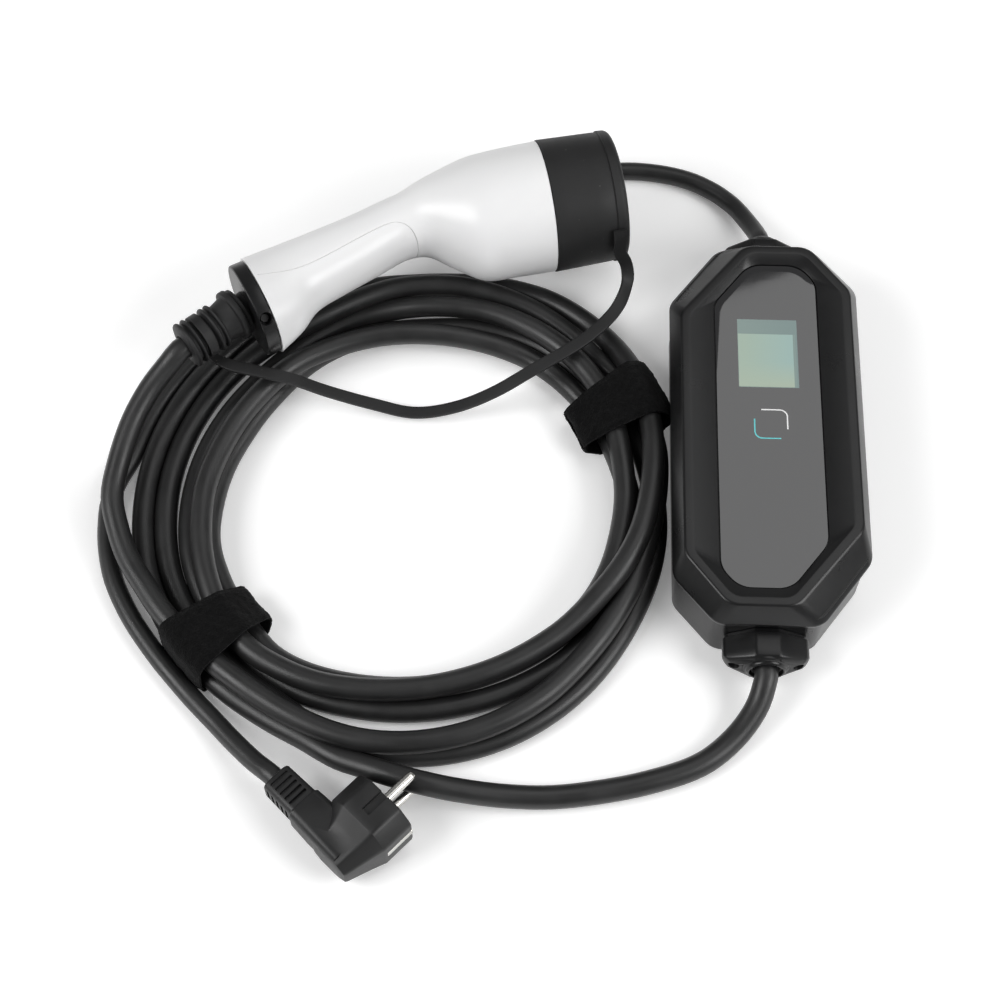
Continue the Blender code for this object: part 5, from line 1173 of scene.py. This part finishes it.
# %% Grooves, seats and pins of the plug
PIN_OFF, PIN_RADIUS = 0.0095, 0.0024
combine(moulding, "DIFFERENCE", [rod("lead_bore", MAINS_RADIUS + 0.0004, -0.007, 0.001, lead_axis, 40)])
for side, word, edge in ((1, "top", "near"), (-1, "bottom", "far")):
    pin_place = plug @ frame_to((0, 0, side * PIN_OFF), (1, 0, 0))
    groove = block("groove", (0.0143, 0.0050, 0.0060), (-0.00615, 0, side * PLUG_RADIUS), 0.0005, plug)
    seat = block("seat", (0.0176, 0.0022, 0.0056), (-0.0085 + CLEARANCE, side * PLUG_RADIUS, 0), 0.0, plug)
    combine(moulding, "DIFFERENCE", [groove, seat, spun("pin_seat", [
        (0, -0.0063), (0.0027, -0.0063), (0.0027, -0.0004), (0.0031, 0.001), (0, 0.001)], pin_place, 32)])
    earth = block(f"earth_{edge}", (0.0170, 0.0008, 0.0050), (-0.0085, side * (PLUG_RADIUS - 0.0004), 0),
                  0.00025, plug)
    finish(earth, "nickel", f"earth_strip_{edge}")
    pin = spun(f"pin_{word}", [
        (0, -0.006), (PIN_RADIUS, -0.006), (PIN_RADIUS, 0.0160), (0.00232, 0.0168), (0.0020, 0.0180),
        (0.0014, 0.0187), (0.0007, 0.0190), (0, 0.0190)], pin_place, 40)
    finish(pin, "nickel", f"plug_pin_{word}", angle=40)
finish(moulding, "black_rubber", "plug_body", angle=28, look="plug_rubber")

# %% [markdown]
# ## Straps
#
# Each strap goes round all the turns of the coil. It follows the outer ones, bridges the hollows
# between them and stands off loosely at the inner side. Its path is the convex hull of the cable
# sections under its middle and both its edges, half a millimetre outside them, with some slack at
# the inner side. The tape's thickness is added outwards, and noise moves the outer face by up to a
# millimetre, so that its outline is rough like pile.

# %% Path of a strap
def hull(points):
    """The convex outline of points, counterclockwise."""
    points = sorted(set(points))

    def half(items):
        chain = []
        for p in items:
            while len(chain) > 1 and ((chain[-1][0] - chain[-2][0]) * (p[1] - chain[-2][1])
                                      - (chain[-1][1] - chain[-2][1]) * (p[0] - chain[-2][0])) <= 0:
                chain.pop()
            chain.append(p)
        return chain[:-1]
    return half(points) + half(points[::-1])


COIL_INSIDE = 0.08


def around_cables(angle, gap, slack=()):
    """The hull of all cable sections that cross one radius of the coil, and of the slack beside them."""
    direction = Vector((cos(radians(angle)), sin(radians(angle)), 0))
    across = Vector((-direction.y, direction.x, 0))
    circles = []
    for a, b in zip(ev_route, ev_route[1:]):
        sa, sb = (a - COIL_CENTRE).dot(across), (b - COIL_CENTRE).dot(across)
        if sa * sb <= 0 and (a - COIL_CENTRE).dot(direction) > COIL_INSIDE:
            middle = a.lerp(b, abs(sa) / (abs(sa) + abs(sb) + 1e-12)) - COIL_CENTRE
            circles.append((middle.dot(direction), middle.z))
    circles += slack
    reach = EV_RADIUS + gap
    outline = hull([(round(r + reach * cos(t * pi / 24), 6), round(z + reach * sin(t * pi / 24), 6))
                    for r, z in circles for t in range(48)])
    return outline, circles


def evenly(outline, count):
    """The same closed outline with evenly spaced points, starting at its lowest inner point."""
    closed = [Vector(p) for p in outline] + [Vector(outline[0])]
    run = [0.0]
    for a, b in zip(closed, closed[1:]):
        run.append(run[-1] + (b - a).length)
    out, index = [], 0
    for k in range(count):
        target = run[-1] * k / count
        while run[index + 1] < target:
            index += 1
        share = (target - run[index]) / (run[index + 1] - run[index] + 1e-12)
        out.append(closed[index].lerp(closed[index + 1], share))
    return out


STRAPS = {"right": (26.0, [(0.1105, 0.0120)]), "left": (221.7, [(0.1045, 0.0120)])}
for side, (angle, _) in STRAPS.items():
    print(side, [(round(r * 1000, 1), round(z * 1000, 1)) for r, z in around_cables(angle, 0)[1]])

# %% Straps
STRAP_HALF = 6.9
STRAP_TAPE = 0.0016
STRAP_GAP = 0.0005
STRAP_EDGE, STRAP_EDGE_TAPE = 0.6, 0.75
STRAP_PILE = ((900, 0.00045), (320, 0.0005))
STRAP_POINTS, STRAP_COLUMNS = 120, 26
STRAP_LOWEST = 0.0003


def strap(name, angle, node, slack):
    """A closed band of tape; its half width is an angle about the coil's centre, in degrees."""
    edges = [circle for shift in (-STRAP_HALF, STRAP_HALF) for circle in around_cables(angle + shift, 0)[1]]
    outline, _ = around_cables(angle, STRAP_GAP, slack + edges)
    path = evenly(outline, STRAP_POINTS)
    rings = []
    for k, point in enumerate(path):
        ahead = path[(k + 1) % len(path)] - path[k - 1]
        out = Vector((ahead.y, -ahead.x)).normalized()
        section = []
        for side in (0, 1):
            for c in range(STRAP_COLUMNS + 1):
                share = c / STRAP_COLUMNS if side == 0 else 1 - c / STRAP_COLUMNS
                turn = radians(angle + STRAP_HALF * (2 * share - 1))
                edge = min(share, 1 - share) * 2 * STRAP_HALF
                thick = STRAP_TAPE * side * (1 if edge > STRAP_EDGE else STRAP_EDGE_TAPE)
                where = point + out * thick
                base_point = Vector((where.x * cos(turn), where.x * sin(turn), where.y)) + COIL_CENTRE
                if side:
                    fuzz = sum(noise.noise(base_point * scale) * height for scale, height in STRAP_PILE)
                    base_point += Vector((out.x * cos(turn), out.x * sin(turn), out.y)) * fuzz
                base_point.z = max(base_point.z, STRAP_LOWEST)
                section.append(base_point)
        rings.append(section)
    finish(through_rings(name, rings, band=True), "hook_and_loop", node, angle=60)


for side, (angle, slack) in STRAPS.items():
    strap(f"strap_band_{side}", angle, f"strap_{side}", slack)

# %% [markdown]
# ## Floor and light
#
# The table is white. A dim grey sky lights everything a little, and three square panels do the
# rest. One at each side gives the black parts their highlights, and one hangs beyond the far right
# corner, where the glass front reflects it. The floor's colour is lifted to full white for camera
# and glossy rays, with a little emission, so that it reads as white paper and keeps the shadows.

# %% Floor
FLOOR_COLOUR, FLOOR_SEEN, FLOOR_GLOW = (0.90, 0.90, 0.90), (1.0, 1.0, 1.0), 0.15
clear()
bpy.ops.mesh.primitive_plane_add(size=8.0, location=(0, 0, 0))
floor = bpy.context.object
floor.name = "table_top"
paper = bpy.data.materials.new("paper_white")
paper.use_nodes = True
tree = paper.node_tree
shader = tree.nodes["Principled BSDF"]
path = tree.nodes.new("ShaderNodeLightPath")
seen = math_node(tree, "MAXIMUM", path.outputs["Is Camera Ray"], path.outputs["Is Glossy Ray"])
tree.links.new(mix_colour(tree, seen, FLOOR_COLOUR, FLOOR_SEEN), shader.inputs["Base Color"])
shader.inputs["Emission Color"].default_value = (1.0, 1.0, 1.0, 1.0)
tree.links.new(math_node(tree, "MULTIPLY", seen, FLOOR_GLOW), shader.inputs["Emission Strength"])
shader.inputs["Roughness"].default_value = 0.9
shader.inputs["Specular IOR Level"].default_value = 0.0
floor.data.materials.append(paper)
print("floor", floor.name)

# %% Sky and panels
world = bpy.data.worlds.new("white_room")
bpy.context.scene.world = world
world.use_nodes = True
tree = world.node_tree
background = tree.nodes["Background"]
direction = tree.nodes.new("ShaderNodeTexCoord").outputs["Generated"]
split = tree.nodes.new("ShaderNodeSeparateXYZ")
tree.links.new(direction, split.inputs["Vector"])
SKY_LOW, SKY_HIGH = (0.32, 0.32, 0.32), (0.19, 0.19, 0.19)
sky = mix_colour(tree, map_range(tree, split.outputs["Z"], 0.0, 0.9), SKY_LOW, SKY_HIGH)
tree.links.new(sky, background.inputs["Color"])
background.inputs["Strength"].default_value = 1.0


def softbox(name, place, target, size, brightness, roll=0.0):
    """A square lamp of a given brightness, where white paper in full light has 1."""
    lamp = bpy.data.lights.new(name, "AREA")
    lamp.shape = "RECTANGLE"
    lamp.size, lamp.size_y = size
    lamp.energy = brightness * pi * size[0] * size[1]
    made = bpy.data.objects.new(name, lamp)
    made.location = place
    aim = (Vector(target) - Vector(place)).to_track_quat("-Z", "Y").to_matrix()
    made.rotation_euler = (aim @ Matrix.Rotation(radians(roll), 3, "Z")).to_euler()
    bpy.context.scene.collection.objects.link(made)


middle = (-0.15, 0.0, 0.0)
softbox("softbox_left", (-1.25, -0.45, 1.05), middle, (0.9, 0.9), 6.1)
softbox("softbox_right", (1.1, -0.5, 1.0), middle, (0.9, 0.9), 6.1)
softbox("softbox_top", (0.442, 0.598, 1.6), (0.442, 0.598, 0.0), (1.2, 1.2), 1.4, roll=24.4)
bpy.context.scene.view_settings.view_transform = "Standard"

# %% Cords
print("declared", ev_cable.name, "and", mains_cable.name)

# %% Update the scene
bpy.context.view_layer.update()
